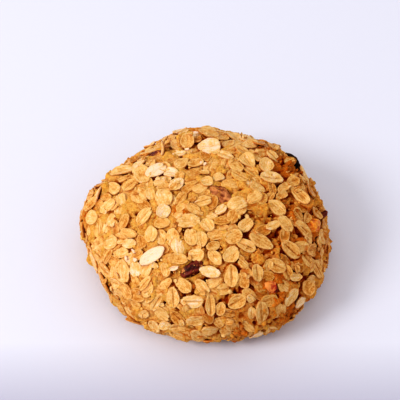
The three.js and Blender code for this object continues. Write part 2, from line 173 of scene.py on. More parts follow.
# Flakes with places of their own, each region from its lowest layer up. Tilt swings a flake about the
# hinge, an angle from the contour.
PLACED_FLAKES = [
    # The left shoulder.
    Oat((160, 46), 47, 10.5, 7, 0.62, 0.05),
    Oat((171, 42), 141, 7.5, 5.3, 0.56, 0.4),
    Oat((182, 47), 25, 8.7, 7, 0.58, 0.05),
    Oat((182, 38), 11, 5.9, 4.3, 0.66, 0.05),
    Oat((183, 53), 1, 5.9, 4, 0.64, 0.05),
    Oat((192, 60), 5, 8.2, 7, 0.66, 0.1),
    Oat((183, 31), 95, 8, 5.4, 0.62, 0.05),
    Oat((165, 58), 141, 7.3, 4.8, 0.68, 0.1),
    Oat((129, 28), 157, 8.8, 5.2, 0.62, 0.1, 5, 90),
    Oat((141, 28), 49, 5.4, 4, 0.3, 0.05, 19, 180),
    Oat((158, 34), 128, 10, 5.4, 0.66, 0.1, 19, 180),
    Oat((173, 26), 141, 6.8, 4.2, 0.74, 0.05, 26),
    Oat((168, 68), 150, 7.1, 5.3, 0.76, 0.1),
    Oat((126, 59), 23, 7.5, 5.6, 0.6, 0.05),
    Oat((153, 52), 147, 9, 5.5, 0.9, 0.1, -12),
    Oat((149, 61), 100, 6.5, 5, 0.82, 0.2, -10),
    Oat((126, 40), 60, 8.5, 5.6, 0.7, 0.1, 67, 60),
    # The crown.
    Oat((91, 30), 13, 7.2, 4.8, 0.6, 0.05, 16, 180),
    Oat((107, 44), 65, 7.4, 5.8, 0.55, 0.05, 33, 180),
    Oat((114, 40), 85, 8.9, 5.5, 0.58, 0.05),
    Oat((119, 50), 126, 6.6, 4.1, 0.76, 0.05),
    Oat((70, 57), 174, 7.3, 4.1, 0.68, 0.3),
    Oat((73, 45), 78, 7.6, 5.1, 0.5, 0.05),
    Oat((50, 61), 176, 7.2, 5.5, 0.58, 0.05),
    Oat((56, 77), 66, 5, 4.1, 0.68, 0.05),
    Oat((103, 84), 5, 5.2, 4.6, 0.62, 0.05),
    Oat((177, 84), 114, 6.1, 4.5, 0.62, 0.05),
    Oat((246, 78), 40, 8.4, 5.2, 0.64, 0.35),
    Oat((202, 70), 124, 6.4, 4.3, 0.48, 0.35),
    Oat((297, 71), 24, 6.1, 3.7, 0.7, 0.05),
    Oat((276, 68), 148, 5, 3.5, 0.66, 0.05),
    Oat((239, 70), 177, 6.2, 3.9, 0.54, 0.05),
    Oat((269, 61), 120, 6.4, 5.2, 0.66, 0.05),
    Oat((89, 52), 5, 9.2, 7.4, 0.82, 0.12, -24),
    Oat((331, 67), 141, 8.6, 6.6, 0.66, 0.1),
    # The right shoulder.
    Oat((58, 40), 87, 8.7, 5.8, 0.6, 0.05),
    Oat((46, 53), 165, 7.4, 6.3, 0.64, 0.15),
    Oat((40, 38), 10, 6.4, 4.5, 0.62, 0.3),
    Oat((33, 46), 136, 8, 6.1, 0.66, 0.05),
    Oat((52, 20), 48, 5.4, 3.8, 0.68, 0.05, 48, 90),
    Oat((5, 57), 88, 6.5, 4.6, 0.6, 0.05),
    Oat((10, 41), 122, 7.9, 3.5, 0.64, 0.05),
    Oat((2, 43), 129, 6.4, 3.4, 0.55, 0.05),
    Oat((16, 35), 118, 6.6, 5, 0.5, 0.1),
    Oat((350, 59), 145, 7.2, 5.6, 0.6, 0.05),
    Oat((313, 54), 3, 6.9, 5.2, 0.64, 0.05),
    Oat((330, 43), 154, 6.7, 3.6, 0.68, 0.05),
    Oat((338, 38), 59, 7.6, 5.8, 0.62, 0.05),
    Oat((351, 33), 64, 5.6, 4.6, 0.5, 0.3),
    Oat((19, 47), 79, 9.5, 6, 0.72, 0.5, -14),
    Oat((348, 45), 66, 8.4, 6, 0.62, 0.1, -10),
    Oat((5, 33), 40, 9.5, 5.8, 0.6, 0.2, -24),
    Oat((343, 28), 82, 9.5, 5, 0.56, 0.4, -8),
    Oat((14, 24), 170, 8, 5.6, 0.46, 0.1, -4),
    Oat((26, 23), 10, 8.5, 5.2, 0.66, 0.3, 8),
    # The left side.
    Oat((203, 46), 109, 8.6, 4.9, 0.62, 0.2),
    Oat((208, 35), 37, 8.2, 3.5, 0.58, 0.05),
    Oat((193, 31), 2, 7.1, 4.3, 0.66, 0.05),
    Oat((197, 17), 63, 9.3, 5.2, 0.55, 0.05),
    Oat((213, 32), 47, 6.3, 4, 0.72, 0.05),
    Oat((213, 26), 55, 7.1, 4, 0.62, 0.05),
    Oat((219, 37), 148, 5.7, 4.1, 0.42, 0.05),
    Oat((228, 45), 147, 6.3, 5.1, 0.6, 0.05),
    Oat((216, 16), 126, 7.1, 5.8, 0.62, 0.05),
    Oat((232, 28), 86, 7.2, 4.6, 0.6, 0.05),
    Oat((221, 7), 50, 8.9, 5.6, 0.6, 0.05),
    Oat((210, 56), 115, 6.5, 5.5, 0.8, 0.1),
    Oat((221, 43), 135, 7, 5.4, 0.66, 0.1),
    Oat((220, 20), 133, 9, 6.4, 0.62, 0.1, -8),
    Oat((203, 25), 56, 8.4, 5.8, 0.62, 0.1),
    # The front.
    Oat((238, 48), 130, 7.9, 5.4, 0.6, 0.05),
    Oat((263, 52), 104, 6.6, 5, 0.6, 0.05),
    Oat((253, 52), 114, 7.5, 5.4, 0.62, 0.05),
    Oat((248, 39), 9, 7.9, 4.6, 0.56, 0.05),
    Oat((274, 48), 20, 6.2, 3.6, 0.56, 0.05),
    Oat((275, 42), 127, 6.8, 4.6, 0.6, 0.05),
    Oat((294, 51), 178, 7.1, 6.1, 0.6, 0.05),
    Oat((243, 32), 127, 5.9, 3.6, 0.58, 0.05),
    Oat((293, 36), 109, 4.9, 3.6, 0.6, 0.05),
    Oat((290, 29), 88, 6.6, 4.7, 0.52, 0.05),
    Oat((291, 22), 134, 6.5, 4.6, 0.56, 0.05),
    Oat((238, 20), 83, 7.1, 4.5, 0.6, 0.05),
    Oat((244, 16), 73, 8.9, 3.5, 0.64, 0.4),
    Oat((246, 26), 57, 6.2, 3.5, 0.58, 0.05),
    Oat((239, 7), 58, 6.1, 3.6, 0.6, 0.05),
    Oat((271, 20), 92, 9.2, 3.8, 0.6, 0.35),
    Oat((276, 18), 72, 6, 3.9, 0.54, 0.2),
    Oat((264, 12), 21, 7.5, 5.5, 0.56, 0.05),
    Oat((231, 35), 63, 11.3, 5.4, 0.94, 0.05, -8),
    Oat((245, 45), 126, 6.5, 5.5, 0.78, 0.1),
    Oat((271, 35), 165, 8, 4.5, 0.8, 0.1, 8),
    Oat((262, 21), 8, 8.5, 5.2, 0.76, 0.45, -10),
    Oat((242, 61), 36, 9.8, 5.6, 0.64, 0.1),
    Oat((313, 42), 118, 10.5, 5.4, 0.6, 0.1),
    Oat((326, 29), 98, 9.8, 5.6, 0.58, 0.4),
    Oat((312, 28), 127, 8.2, 5.6, 0.58, 0.35),
    Oat((284, 32), 81, 8, 5.8, 0.62, 0.35),
    Oat((299, 30), 64, 7, 5.2, 0.62, 0.35),
    Oat((287, 42), 34, 7.4, 5.8, 0.66, 0.05),
    Oat((252, 21), 104, 8, 5.4, 0.6, 0.4),
    Oat((261, 43), 5, 6.4, 5.3, 0.62, 0.05),
    Oat((226, 25), 129, 6, 5.4, 0.74, 0.05),
    Oat((235, 22), 73, 6.9, 3.8, 0.6, 0.35),
    Oat((248, 34), 38, 3.8, 1.8, 1, 0.05),
    # The lower rim and the right side.
    Oat((255, 0), 166, 7.4, 4.5, 0.56, 0.3, 7, 270),
    Oat((271, 7), 167, 7, 4.6, 0.6, 0.05, 20, 90),
    Oat((278, 4), 160, 5.1, 4.4, 0.56, 0.05),
    Oat((288, 7), 123, 7.5, 3.3, 0.6, 0.05),
    Oat((292, -2), 56, 6.6, 4.5, 0.8, 0.05, 2, 90),
    Oat((316, 5), 175, 6, 4.5, 0.8, 0.05, 14),
    Oat((337, 19), 136, 8.2, 5.1, 0.5, 0.05),
    Oat((358, 13), 171, 6.5, 4.6, 0.46, 0.05, 10, 270),
    Oat((1, -2), 60, 7.5, 5, 0.56, 0.05, 9),
    Oat((323, 20), 129, 5.9, 3.6, 0.5, 0.3),
    Oat((334, 9), 80, 8.6, 6, 0.52, 0.4, -18),
    Oat((322, 9), 179, 6.6, 6, 0.5, 0.05, 37, 180),
    Oat((304, 9), 82, 6.6, 6, 0.56, 0.05, -6),
    Oat((295, 12), 82, 10.5, 5.6, 0.6, 0.45),
    Oat((0, 21), 83, 6.5, 4.4, 0.5, 0.2),
]
FREE_TILT = 15  # degrees: a placed flake with less tilt lies as it settles, and the others keep theirs

# The flakes that lie wherever there is room. The first ones are fused to the solid.
FUSED_FLAKES = 70
FLAKE_LENGTH = (6.8, 9.8)
FLAKE_LENGTH_SPREAD = 1.4
FLAKE_SLENDERNESS = (1.3, 1.8)
FLAKE_TILT = 13
FLAKE_PROUD = 0.15
TILTED_RISE = 0.7
SMALL_FLAKE_LENGTH = (5.6, 8)
SPOT_TRIES = 14
LOWEST_SHARE = 0.965
FLAKE_THICKNESS_SPREAD = (0.8, 1.15)
TONE, TONE_SPREAD, TONE_LIMITS = 0.54, 0.13 * math.sqrt(2), (0.12, 0.8)
PALE_CHANCE, PALE_BEHIND, SEEDED_PALE_TONE = 0.05, 26, 0.82  # only behind the crown
CREASED_CHANCE, CREASE_DEPTHS, FLAT_CREASE = 0.4, (0.1, 0.45), 0.05

PALE_TONE = 0.8  # a flake with this tone or more is pale
TOASTED_TONE = 0.5  # and with less than this it is toasted

# Seeds. A flake's number is added to most of them.
SPOT_SEED = 41
FLAKE_SEED = 1000
LIFT_SEED = 77
GAP_SEED = 300
PLACED_SEED = 5000
SCRAP_SEED = 9000
PALE_BIT_SEED = 9500
BITS_SEED = 7
SCRAP_SPOT_SEED = 8
CRUMB_SPOT_SEED = 9
COVERED_SEED = 21
COVERED_SPOT_SEED = 22

SCATTERED_LOWEST_SHARE = 0.97
STEEP = 0.8  # a flake stands on edge where the cosine of its tilt is less
STEEPEST_REST = 0.36  # the slope to which a flake settles at most
UNDER_SHARE = 0.95  # how far out in what lies below a flake it can rest
PILE_REACH = 9  # flakes whose middles are farther apart don't touch
RIM_HEIGHTS = (16, 7)  # above the table, from where the lower rim begins to where it is in full
RIM_EMBEDDED = 0.85
GAP_CHANCE, BROWNED_GAP_CHANCE, RIM_GAP_CHANCE = 0.08, 0.3, 0.5
STANDING_FRUIT = "raisin_right_side"  # too upright for a flake to lie on


def linear(red, green, blue):
    """The linear colour of an sRGB one from 0 to 255."""
    shares = np.array([red, green, blue]) / 255
    return tuple(np.where(shares <= 0.04045, shares / 12.92, ((shares + 0.055) / 1.055) ** 2.4).tolist())


# ---------------------------------------------------------------------------------------------------------
# What a user would change.


class CookieSizes(bpy.types.PropertyGroup):
    """Counts and sizes of what covers the mound"""

    dough_detail: IntProperty(
        name="Dough detail",
        description="Cuts in each side of the icosahedron that becomes the dough",
        default=98,
        min=8,
    )
    small_flakes: IntProperty(
        name="Small flakes", description="Flakes in the gaps between the larger ones", default=390, min=0
    )
    scraps: IntProperty(name="Scraps", description="Broken scraps of flake", default=150, min=0)
    crumbs: IntProperty(name="Crumbs", description="Crumbs of baked dough", default=1100, min=0)
    flake_thickness: FloatProperty(
        name="Flake thickness", description="Thickness of a rolled oat flake", default=0.00078, unit="LENGTH"
    )
    flake_sink: FloatProperty(
        name="Flake sink", description="How deep a flake is pressed in", default=0.00022, unit="LENGTH"
    )
    dough_drop: FloatProperty(
        name="Dough drop",
        description="How far dough shrinks back between flakes",
        default=0.0009,
        unit="LENGTH",
    )
    covered_flakes: IntProperty(
        name="Covered flakes", description="Flakes that show only as bumps", default=260, min=0
    )
    relief: FloatProperty(
        name="Relief", description="Strength of the dough's lumps and pits", default=1, subtype="FACTOR"
    )


def colour_property(name, description, rgb):
    default = linear(*rgb)
    return FloatVectorProperty(name=name, description=description, subtype="COLOR", size=3, default=default)


class CookieColours(bpy.types.PropertyGroup):
    """Colours of the cookie and of the floor it stands on"""

    dough: colour_property("Dough", "Baked dough between the flakes", (235, 184, 100))
    # Toasted dough; the same colour is also painted as shade in the gaps of the dough and on the flakes'
    # edges.
    dough_toasted_and_shade: colour_property("Toasted dough", "Crags, rims and the underside", (184, 92, 10))
    # Painted shade: the colour of the deepest gaps between and under the flakes.
    dough_gap_shade: colour_property("Deep dough", "Gaps under the flakes", (150, 46, 0))
    flake_toasted: colour_property("Toasted flake", "The darkest flakes", (200, 127, 42))
    flake_golden: colour_property("Golden flake", "Most flakes", (232, 180, 108))
    flake_light: colour_property("Light flake", "Flakes that browned least", (240, 202, 144))
    flake_pale: colour_property("Pale flake", "Dry, nearly white flakes", (249, 219, 196))
    raisin_dark: colour_property("Dark raisin", "Wrinkled maroon skin", (78, 12, 8))
    raisin_brown: colour_property("Brown raisin", "Dry pink-brown skin", (140, 70, 36))
    raisin_burnt: colour_property("Burnt raisin", "Burnt black skin", (24, 12, 8))
    fruit_red: colour_property("Red fruit", "Sticky dried fruit", (180, 32, 0))
    fruit_orange: colour_property("Orange fruit", "Sticky dried fruit", (216, 108, 8))
    floor: colour_property("Floor", "The pale surface", (223, 224, 244))
    # Painted shade: the floor darkens towards the camera, as the light falls off.
    floor_front_painted_shade: colour_property("Floor in front", "The pale surface, nearer the camera", (169, 166, 192))


# ---------------------------------------------------------------------------------------------------------
# Random draws and noise.

WORD = 0xFFFFFFFF


def draws_from(seed):
    """A repeatable stream of random numbers from 0 to 1 for each seed."""
    state = seed & WORD

    def draw():
        nonlocal state
        state = (state + 0x6D2B79F5) & WORD
        t = ((state ^ (state >> 15)) * (state | 1)) & WORD
        t ^= (t + (((t ^ (t >> 7)) * (t | 61)) & WORD)) & WORD
        return ((t ^ (t >> 14)) & WORD) / (WORD + 1)

    return draw


def between(limits, share):
    """The value at a share of the way from one limit to the other."""
    low, high = limits
    return low + (high - low) * share


def hashed(cells, seed):
    """A random number from -1 to 1 for each whole-numbered cell."""
    x, y, z = (cells[..., i] for i in range(3))
    mixed = (x * 374761393 + y * 668265263 + z * 1440670441 + seed * 974634777) & WORD
    mixed = ((mixed ^ (mixed >> 13)) * 1274126177) & WORD
    mixed = ((mixed ^ (mixed >> 16)) * 2246822519) & WORD
    return ((mixed ^ (mixed >> 15)) & WORD) / (WORD / 2) - 1


def noise(points, size, seed=0):
    """Smooth noise, from about -1 to 1, with features of a size."""
    at = np.asarray(points, float) / size + 31.7 * (seed + 1)
    cells = np.floor(at).astype(np.int64)
    part = at - cells
    fade = part**3 * (part * (part * 6 - 15) + 10)
    total = 0
    for corner in itertools.product((0, 1), repeat=3):
        corner = np.array(corner)
        slope = np.stack([hashed(cells + corner, seed * 3 + axis) for axis in range(3)], -1)
        weight = np.prod(np.where(corner, fade, 1 - fade), axis=-1)
        total = total + weight * np.sum(slope * (part - corner), axis=-1)
    return 1.7 * total


def smoothstep(low, high, value):
    share = np.clip((value - low) / (high - low), 0, 1)
    return share * share * (3 - 2 * share)


# ---------------------------------------------------------------------------------------------------------
# The mound's surface, by direction from its heart.


def unit(vectors):
    return vectors / np.linalg.norm(vectors, axis=-1, keepdims=True)


def directions_at(azimuth, angle):
    across = np.cos(angle)
    return np.stack([across * np.cos(azimuth), across * np.sin(azimuth), np.sin(angle)], -1)


def direction_of(place):
    """The direction from the heart to a place on the dough."""
    return directions_at(*np.radians(place.at))


def plan_radius(azimuth):
    """The plan's radius: a closed Catmull-Rom curve through PLAN_RADII."""
    count = len(PLAN_RADII)
    at = (azimuth / (2 * np.pi)) % 1 * count
    step = np.floor(at).astype(int)
    f = at - step
    a, b, c, d = (PLAN_RADII[(step + k) % count] for k in (-1, 0, 1, 2))
    return b + 0.5 * f * (c - a + f * (2 * a - 5 * b + 4 * c - d + f * (3 * (b - c) + d - a)))


def plain_reach(across, height, radius):
    rise = np.where(height > 0, DOME_RISE, UNDERCUT_DEPTH)
    return ((across / radius) ** FULLNESS + (np.abs(height) / rise) ** FULLNESS) ** (-1 / FULLNESS)


def reach_of(directions):
    """How far the mound reaches from its heart in each direction."""
    across = np.hypot(directions[..., 0], directions[..., 1])
    azimuth = np.arctan2(directions[..., 1], directions[..., 0])
    reach = plain_reach(across, directions[..., 2], plan_radius(azimuth))
    for lump in LUMPS:
        apart = np.arccos(np.clip(directions @ direction_of(lump), -1, 1))
        reach = reach + lump.rise * np.exp(-((apart * reach / lump.reach) ** 2))
    return reach


def dough_points(directions):
    return HEART + directions * reach_of(directions)[..., None]


def dough_axes(directions):
    """Unit vectors along the contour, uphill and out of the dough, as the rows of one matrix for each."""
    step = 0.02
    contour = unit(np.cross([0, 0, 1], directions))
    uphill = np.cross(directions, contour)

    def nudged(axis, by):
        return dough_points(unit(directions + axis * by))

    along = nudged(contour, step) - nudged(contour, -step)
    up = nudged(uphill, step) - nudged(uphill, -step)
    out = unit(np.cross(along, up))
    along = unit(along - out * np.sum(along * out, axis=-1, keepdims=True))
    return np.stack([along, np.cross(out, along), out], -2)


@functools.cache
def angle_by_area():
    """Angles above the waist, and the share of a round mound's area above each."""
    rows = 120
    top, table = math.pi / 2, -math.atan(HEART[2] / PLAN_RADII.max())
    angles = top + (table - top) * np.arange(rows + 1) / rows
    reach = plain_reach(np.cos(angles), np.sin(angles), PLAN_RADII.mean())
    across, height = reach * np.cos(angles), reach * np.sin(angles)
    across[0] = 0
    rings = (across[:-1] + across[1:]) * np.hypot(np.diff(across), np.diff(height))
    areas = np.concatenate([[0], np.cumsum(rings)])
    return angles, areas / areas[-1]


def rotation(axis, angle):
    """The matrix that turns column vectors about a unit axis."""
    x, y, z = axis
    cross = np.array([[0, -z, y], [z, 0, -x], [-y, x, 0]])
    return np.eye(3) + math.sin(angle) * cross + (1 - math.cos(angle)) * cross @ cross


def oval_share(local, half):
    """How far out local points lie in an oval, from 0 in the middle to 1 at its edge."""
    return np.hypot(local[:, 0] / half[0], local[:, 1] / half[1])


def lying_on_dough(direction, turn, proud, tilt=0, hinge=0):
    """The middle and the axes, as rows, of something that lies on the dough. Angles are in degrees."""
    axes = dough_axes(direction)
    middle = dough_points(direction) + axes[2] * proud
    hinge_axis = (math.cos(math.radians(hinge)), math.sin(math.radians(hinge)), 0)
    local = rotation(hinge_axis, math.radians(tilt)) @ rotation((0, 0, 1), math.radians(turn))
    return middle, local.T @ axes


def browned_and_shaded(directions):
    """How much browner and darker the right side is, from 0 to 1: partly baked browner, partly painted shade
    on the side away from the key light.
    """
    toward = directions @ directions_at(math.radians(338), math.radians(5))
    return smoothstep(0.1, 0.9, toward)


# ---------------------------------------------------------------------------------------------------------
# Where each flake lies.


@dataclass
class Flake:
    """One oat flake or scrap of one, in millimetres. Embedded is how much dough its edge has, up to 1."""

    middle: np.ndarray
    axes: np.ndarray
    length: float
    width: float
    thickness: float
    tone: float
    crease: float
    seed: int
    embedded: float = 0.0

    def local(self, points):
        """Points in the flake's own frame."""
        return (points - self.middle) @ self.axes.T

    def share(self, local):
        """How far out local points lie, from 0 in the middle to 1 at the outline."""
        return np.hypot(local[..., 0] * 2 / self.length, local[..., 1] * 2 / self.width)


def roomy_spots(count):
    """Directions, each the one of a few random places with the most room round it."""
    draw = draws_from(SPOT_SEED)
    angles, shares = angle_by_area()
    fixed = [(FRUIT, FRUIT_ROOM), (CRAGS, CRAG_ROOM), (PLACED_FLAKES, 0)]
    middles = [dough_points(direction_of(place)) for places, room in fixed for place in places]
    rooms = [room for places, room in fixed for place in places]
    spots = []
    for _ in range(count):
        pairs = np.array([(draw(), draw()) for _ in range(SPOT_TRIES)])
        tried = directions_at(2 * np.pi * pairs[:, 0], np.interp(LOWEST_SHARE * pairs[:, 1], shares, angles))
        points = dough_points(tried)
        apart = np.linalg.norm(points[:, None] - np.array(middles), axis=-1) - np.array(rooms)
        best = np.argmax(apart.min(axis=1))
        middles.append(points[best])
        rooms.append(0)
        spots.append(tried[best])
    return spots


def seeded_flake(direction, i, small_flakes, thickness):
    """A flake at a spot. The fused ones come first, with the spots and sizes that they have in the solid."""
    draw = draws_from(FLAKE_SEED + i)
    if i < FUSED_FLAKES:
        typical = between(FLAKE_LENGTH, 1 - i / FUSED_FLAKES)
    else:
        typical = between(SMALL_FLAKE_LENGTH, 1 - (i - FUSED_FLAKES) / max(small_flakes, 1))
    length = typical + FLAKE_LENGTH_SPREAD * (draw() - 0.5)
    width = length / between(FLAKE_SLENDERNESS, draw())
    turn, hinge, tilt = 180 * draw(), 360 * draw(), FLAKE_TILT * draw()
    middle, axes = lying_on_dough(direction, turn, FLAKE_PROUD, tilt * 0.5, hinge)
    tone = np.clip(TONE + TONE_SPREAD * (draw() + draw() + draw() - 1.5), *TONE_LIMITS)
    pale = draw() < PALE_CHANCE and middle[1] > PALE_BEHIND
    if pale:
        tone = SEEDED_PALE_TONE
    crease = between(CREASE_DEPTHS, draw()) if draw() < CREASED_CHANCE else FLAT_CREASE
    embedded = 0 if pale else draw() ** (1.5 if i < FUSED_FLAKES else 0.9)
    thickness *= between(FLAKE_THICKNESS_SPREAD, draw())
    return Flake(middle, axes, length, width, thickness, tone, crease, i, embedded)


def placed_flake(oat, i, thickness):
    """A flake with a place of its own."""
    from_hinge = math.radians(oat.turn - oat.hinge)
    half_across = math.hypot(oat.length * math.sin(from_hinge), oat.width * math.cos(from_hinge)) / 2
    proud = FLAKE_PROUD + TILTED_RISE * half_across * math.sin(abs(math.radians(oat.tilt)))
    middle, axes = lying_on_dough(direction_of(oat), oat.turn, proud, oat.tilt, oat.hinge)
    embedded = 0.15 + 0.55 * draws_from(i)() ** 1.4
    flake = Flake(middle, axes, oat.length, oat.width, thickness, oat.tone, oat.crease, PLACED_SEED + i)
    flake.embedded = embedded * (oat.tone < PALE_TONE)
    return flake


# Places under a flake where its height above the dough is taken, as shares of its half sizes.
FOOTPRINT = np.array(
    [(0, 0)]
    + [(0.5 * math.cos(a), 0.5 * math.sin(a)) for a in np.radians(range(0, 360, 60))]
    + [(0.95 * math.cos(a), 0.95 * math.sin(a)) for a in np.radians(range(15, 375, 30))]
)


@functools.cache
def fruit_frames():
    """Each piece of fruit's middle, its axes, as rows, and its half sizes, by name."""
    return {
        fruit.name: (
            *lying_on_dough(direction_of(fruit), fruit.turn, fruit.proud, fruit.tilt),
            np.array(fruit.size) / 2,
        )
        for fruit in FRUIT
    }


def lift_of(flake):
    """How steeply a flake curls up from what it lies on, and in which direction."""
    draw = draws_from(flake.seed + LIFT_SEED)
    return 0.3 * draw() ** 2 * (1 - flake.embedded), 2 * math.pi * draw()


def heights_under(flake, points, out, below):
    """How far the dough, the fruit and the flakes that lie there already stand out past a flake's points."""
    away = points - HEART
    directions = unit(away)
    gap = reach_of(directions) - np.linalg.norm(away, axis=1) + slow_relief(dough_points(directions))
    heights = gap * (directions @ out)
    for name, (middle, axes, half) in fruit_frames().items():
        if np.linalg.norm(middle - flake.middle) < flake.length / 2 + half[0] and name != STANDING_FRUIT:
            local = (points - middle) @ axes.T
            share = oval_share(local, half)
            over = half[2] * np.sqrt(np.clip(1 - share**2, 0, 1)) - local[:, 2]
            heights = np.where(share < UNDER_SHARE, np.maximum(heights, over), heights)
    for other in below.near(flake):
        level_with = other.axes[2] @ out
        if level_with < STEEP:
            continue
        local = other.local(points)
        over = (other.thickness / 2 - local[:, 2]) / level_with
        heights = np.where(other.share(local) < UNDER_SHARE, np.maximum(heights, over), heights)
    return heights


def settle(flake, below, sink):
    """Lays a flake on what lies under it."""
    out = dough_axes(unit(flake.middle - HEART))[2]
    spots = FOOTPRINT * (flake.length / 2, flake.width / 2)
    along, across = flake.axes[0], flake.axes[1]
    points = flake.middle + spots[:, :1] * along + spots[:, 1:] * across
    heights = heights_under(flake, points, out, below)
    table = np.column_stack([np.ones(len(spots)), spots])
    level, rise_along, rise_across = np.linalg.lstsq(table, heights, rcond=None)[0]
    rise_along, rise_across = np.clip([rise_along, rise_across], -STEEPEST_REST, STEEPEST_REST)
    rest = heights - spots @ [rise_along, rise_across]
    level = 0.5 * np.median(rest) + 0.5 * np.quantile(rest, 0.8)
    lift, toward = lift_of(flake)
    rise_along += lift * math.cos(toward)
    rise_across += lift * math.sin(toward)
    normal = unit(flake.axes[2] - rise_along * along - rise_across * across)
    along = unit(along - normal * (along @ normal))
    flake.middle = flake.middle + out * (level + flake.thickness / 2 - sink + 0.3 * lift * flake.width)
    flake.axes = np.array([along, np.cross(normal, along), normal])
    return flake


class Pile:
    """Flakes that are laid, and those of them near another."""

    def __init__(self):
        self.flakes = []
        self.middles = np.zeros((0, 3))

    def lay(self, flake):
        self.flakes.append(flake)
        self.middles = np.vstack([self.middles, flake.middle])

    def near(self, flake):
        apart = np.linalg.norm(self.middles - flake.middle, axis=1)
        for i in np.flatnonzero(apart < PILE_REACH):
            other = self.flakes[i]
            if apart[i] < (other.length + flake.length) / 2:
                yield other


def over_fruit(point, margin=1.0):
    """Whether a point lies over the part of a piece of fruit that shows, or as near as the margin."""
    for middle, axes, half in fruit_frames().values():
        along, across, _ = (point - middle) @ axes.T / half
        if math.hypot(along, across) < 0.9 * margin and np.linalg.norm(point - middle) < 8:
            return True
    return False


def laid_flakes():
    """The pile of whole flakes for the sizes that are set."""
    sizes = bpy.context.scene.cookie_sizes
    return lay_flakes(sizes.small_flakes, sizes.flake_thickness / MM, sizes.flake_sink / MM)


@functools.cache
def lay_flakes(small_flakes, thickness, sink):
    """Every whole flake, the small ones first and those with places of their own last."""
    pile = Pile()
    spots = roomy_spots(FUSED_FLAKES + small_flakes)
    placed = [placed_flake(oat, i, thickness) for i, oat in enumerate(PLACED_FLAKES)]
    for i in reversed(range(len(spots))):
        flake = seeded_flake(spots[i], i, small_flakes, thickness)
        if i >= FUSED_FLAKES:
            rim = smoothstep(*RIM_HEIGHTS, flake.middle[2])
            flake.embedded = max(flake.embedded, RIM_EMBEDDED * rim)
            chance = GAP_CHANCE + BROWNED_GAP_CHANCE * browned_and_shaded(spots[i]) + RIM_GAP_CHANCE * rim
            missing = draws_from(i + GAP_SEED)() < chance
            covered = any(other.share(other.local(flake.middle)) < 0.6 for other in placed)
            if missing or covered or over_fruit(flake.middle, 1.25):
                continue
        pile.lay(settle(flake, pile, sink * (0.4 + 1.4 * flake.embedded)))
    for oat, flake in zip(PLACED_FLAKES, placed):
        if abs(oat.tilt) < FREE_TILT:
            flake = settle(flake, pile, sink)
        else:
            flake.middle = flake.middle + direction_of(oat) * slow_relief(flake.middle[None])
        pile.lay(flake)
    return pile


# ---------------------------------------------------------------------------------------------------------
# Meshes.


def geodesic(detail):
    """Directions and triangles of an icosahedron with each side cut into detail + 1 parts."""
    golden = (1 + math.sqrt(5)) / 2
    corners = unit(
        np.array(
            [(s, t * golden, 0) for s in (-1, 1) for t in (-1, 1)]
            + [(0, s, t * golden) for s in (-1, 1) for t in (-1, 1)]
            + [(t * golden, 0, s) for s in (-1, 1) for t in (-1, 1)]
        )
    )
    side = 2 / math.hypot(1, golden)
    near = np.abs(np.linalg.norm(corners[:, None] - corners, axis=-1) - side) < 0.01
    faces = [
        (a, b, c)
        for a, b, c in itertools.combinations(range(12), 3)
        if near[a, b] and near[b, c] and near[a, c]
    ]
    parts = detail + 1
    grid = [(i, j) for i in range(parts + 1) for j in range(parts + 1 - i)]
    number = {spot: n for n, spot in enumerate(grid)}
    cells = [(number[i, j], number[i + 1, j], number[i, j + 1]) for i, j in grid if i + j < parts]
    cells += [
        (number[i + 1, j], number[i + 1, j + 1], number[i, j + 1]) for i, j in grid if i + j < parts - 1
    ]
    weights = np.array([(parts - i - j, i, j) for i, j in grid]) / parts
    points, triangles = [], []
    for a, b, c in faces:
        if np.dot(np.cross(corners[a], corners[b]), corners[c]) < 0:
            b, c = c, b
        triangles.append(np.array(cells) + len(points) * len(grid))
        points.append(unit(weights @ corners[[a, b, c]]))
    points, triangles = np.concatenate(points), np.concatenate(triangles)
    _, first, joined = np.unique(np.round(points, 6), axis=0, return_index=True, return_inverse=True)
    return points[first], joined.reshape(-1)[triangles]


def add_piece(name, points, triangles, attributes, replaced, slot, material):
    """One shaded mesh piece from points in millimetres, riding on the body and standing for solids."""
    mesh = bpy.data.meshes.new(name)
    mesh.vertices.add(len(points))
    mesh.vertices.foreach_set("co", (np.asarray(points) * MM).astype(np.float32).ravel())
    mesh.loops.add(3 * len(triangles))
    mesh.loops.foreach_set("vertex_index", np.asarray(triangles, np.int32).ravel())
    mesh.polygons.add(len(triangles))
    mesh.polygons.foreach_set("loop_start", np.arange(0, 3 * len(triangles), 3, dtype=np.int32))
    mesh.update(calc_edges=True)
    mesh.shade_smooth()
    for label, values in attributes.items():
        values = np.asarray(values, np.float32)
        kind, key = ("FLOAT", "value") if values.ndim == 1 else ("FLOAT_VECTOR", "vector")
        mesh.attributes.new(label, kind, "POINT").data.foreach_set(key, values.ravel())
    mesh.materials.append(material)
    piece = bpy.data.objects.new(name, mesh)
    bpy.context.scene.collection.objects.link(piece)
    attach(piece, "root")
    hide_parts(*replaced)
    return piece


# ---------------------------------------------------------------------------------------------------------
# Materials.


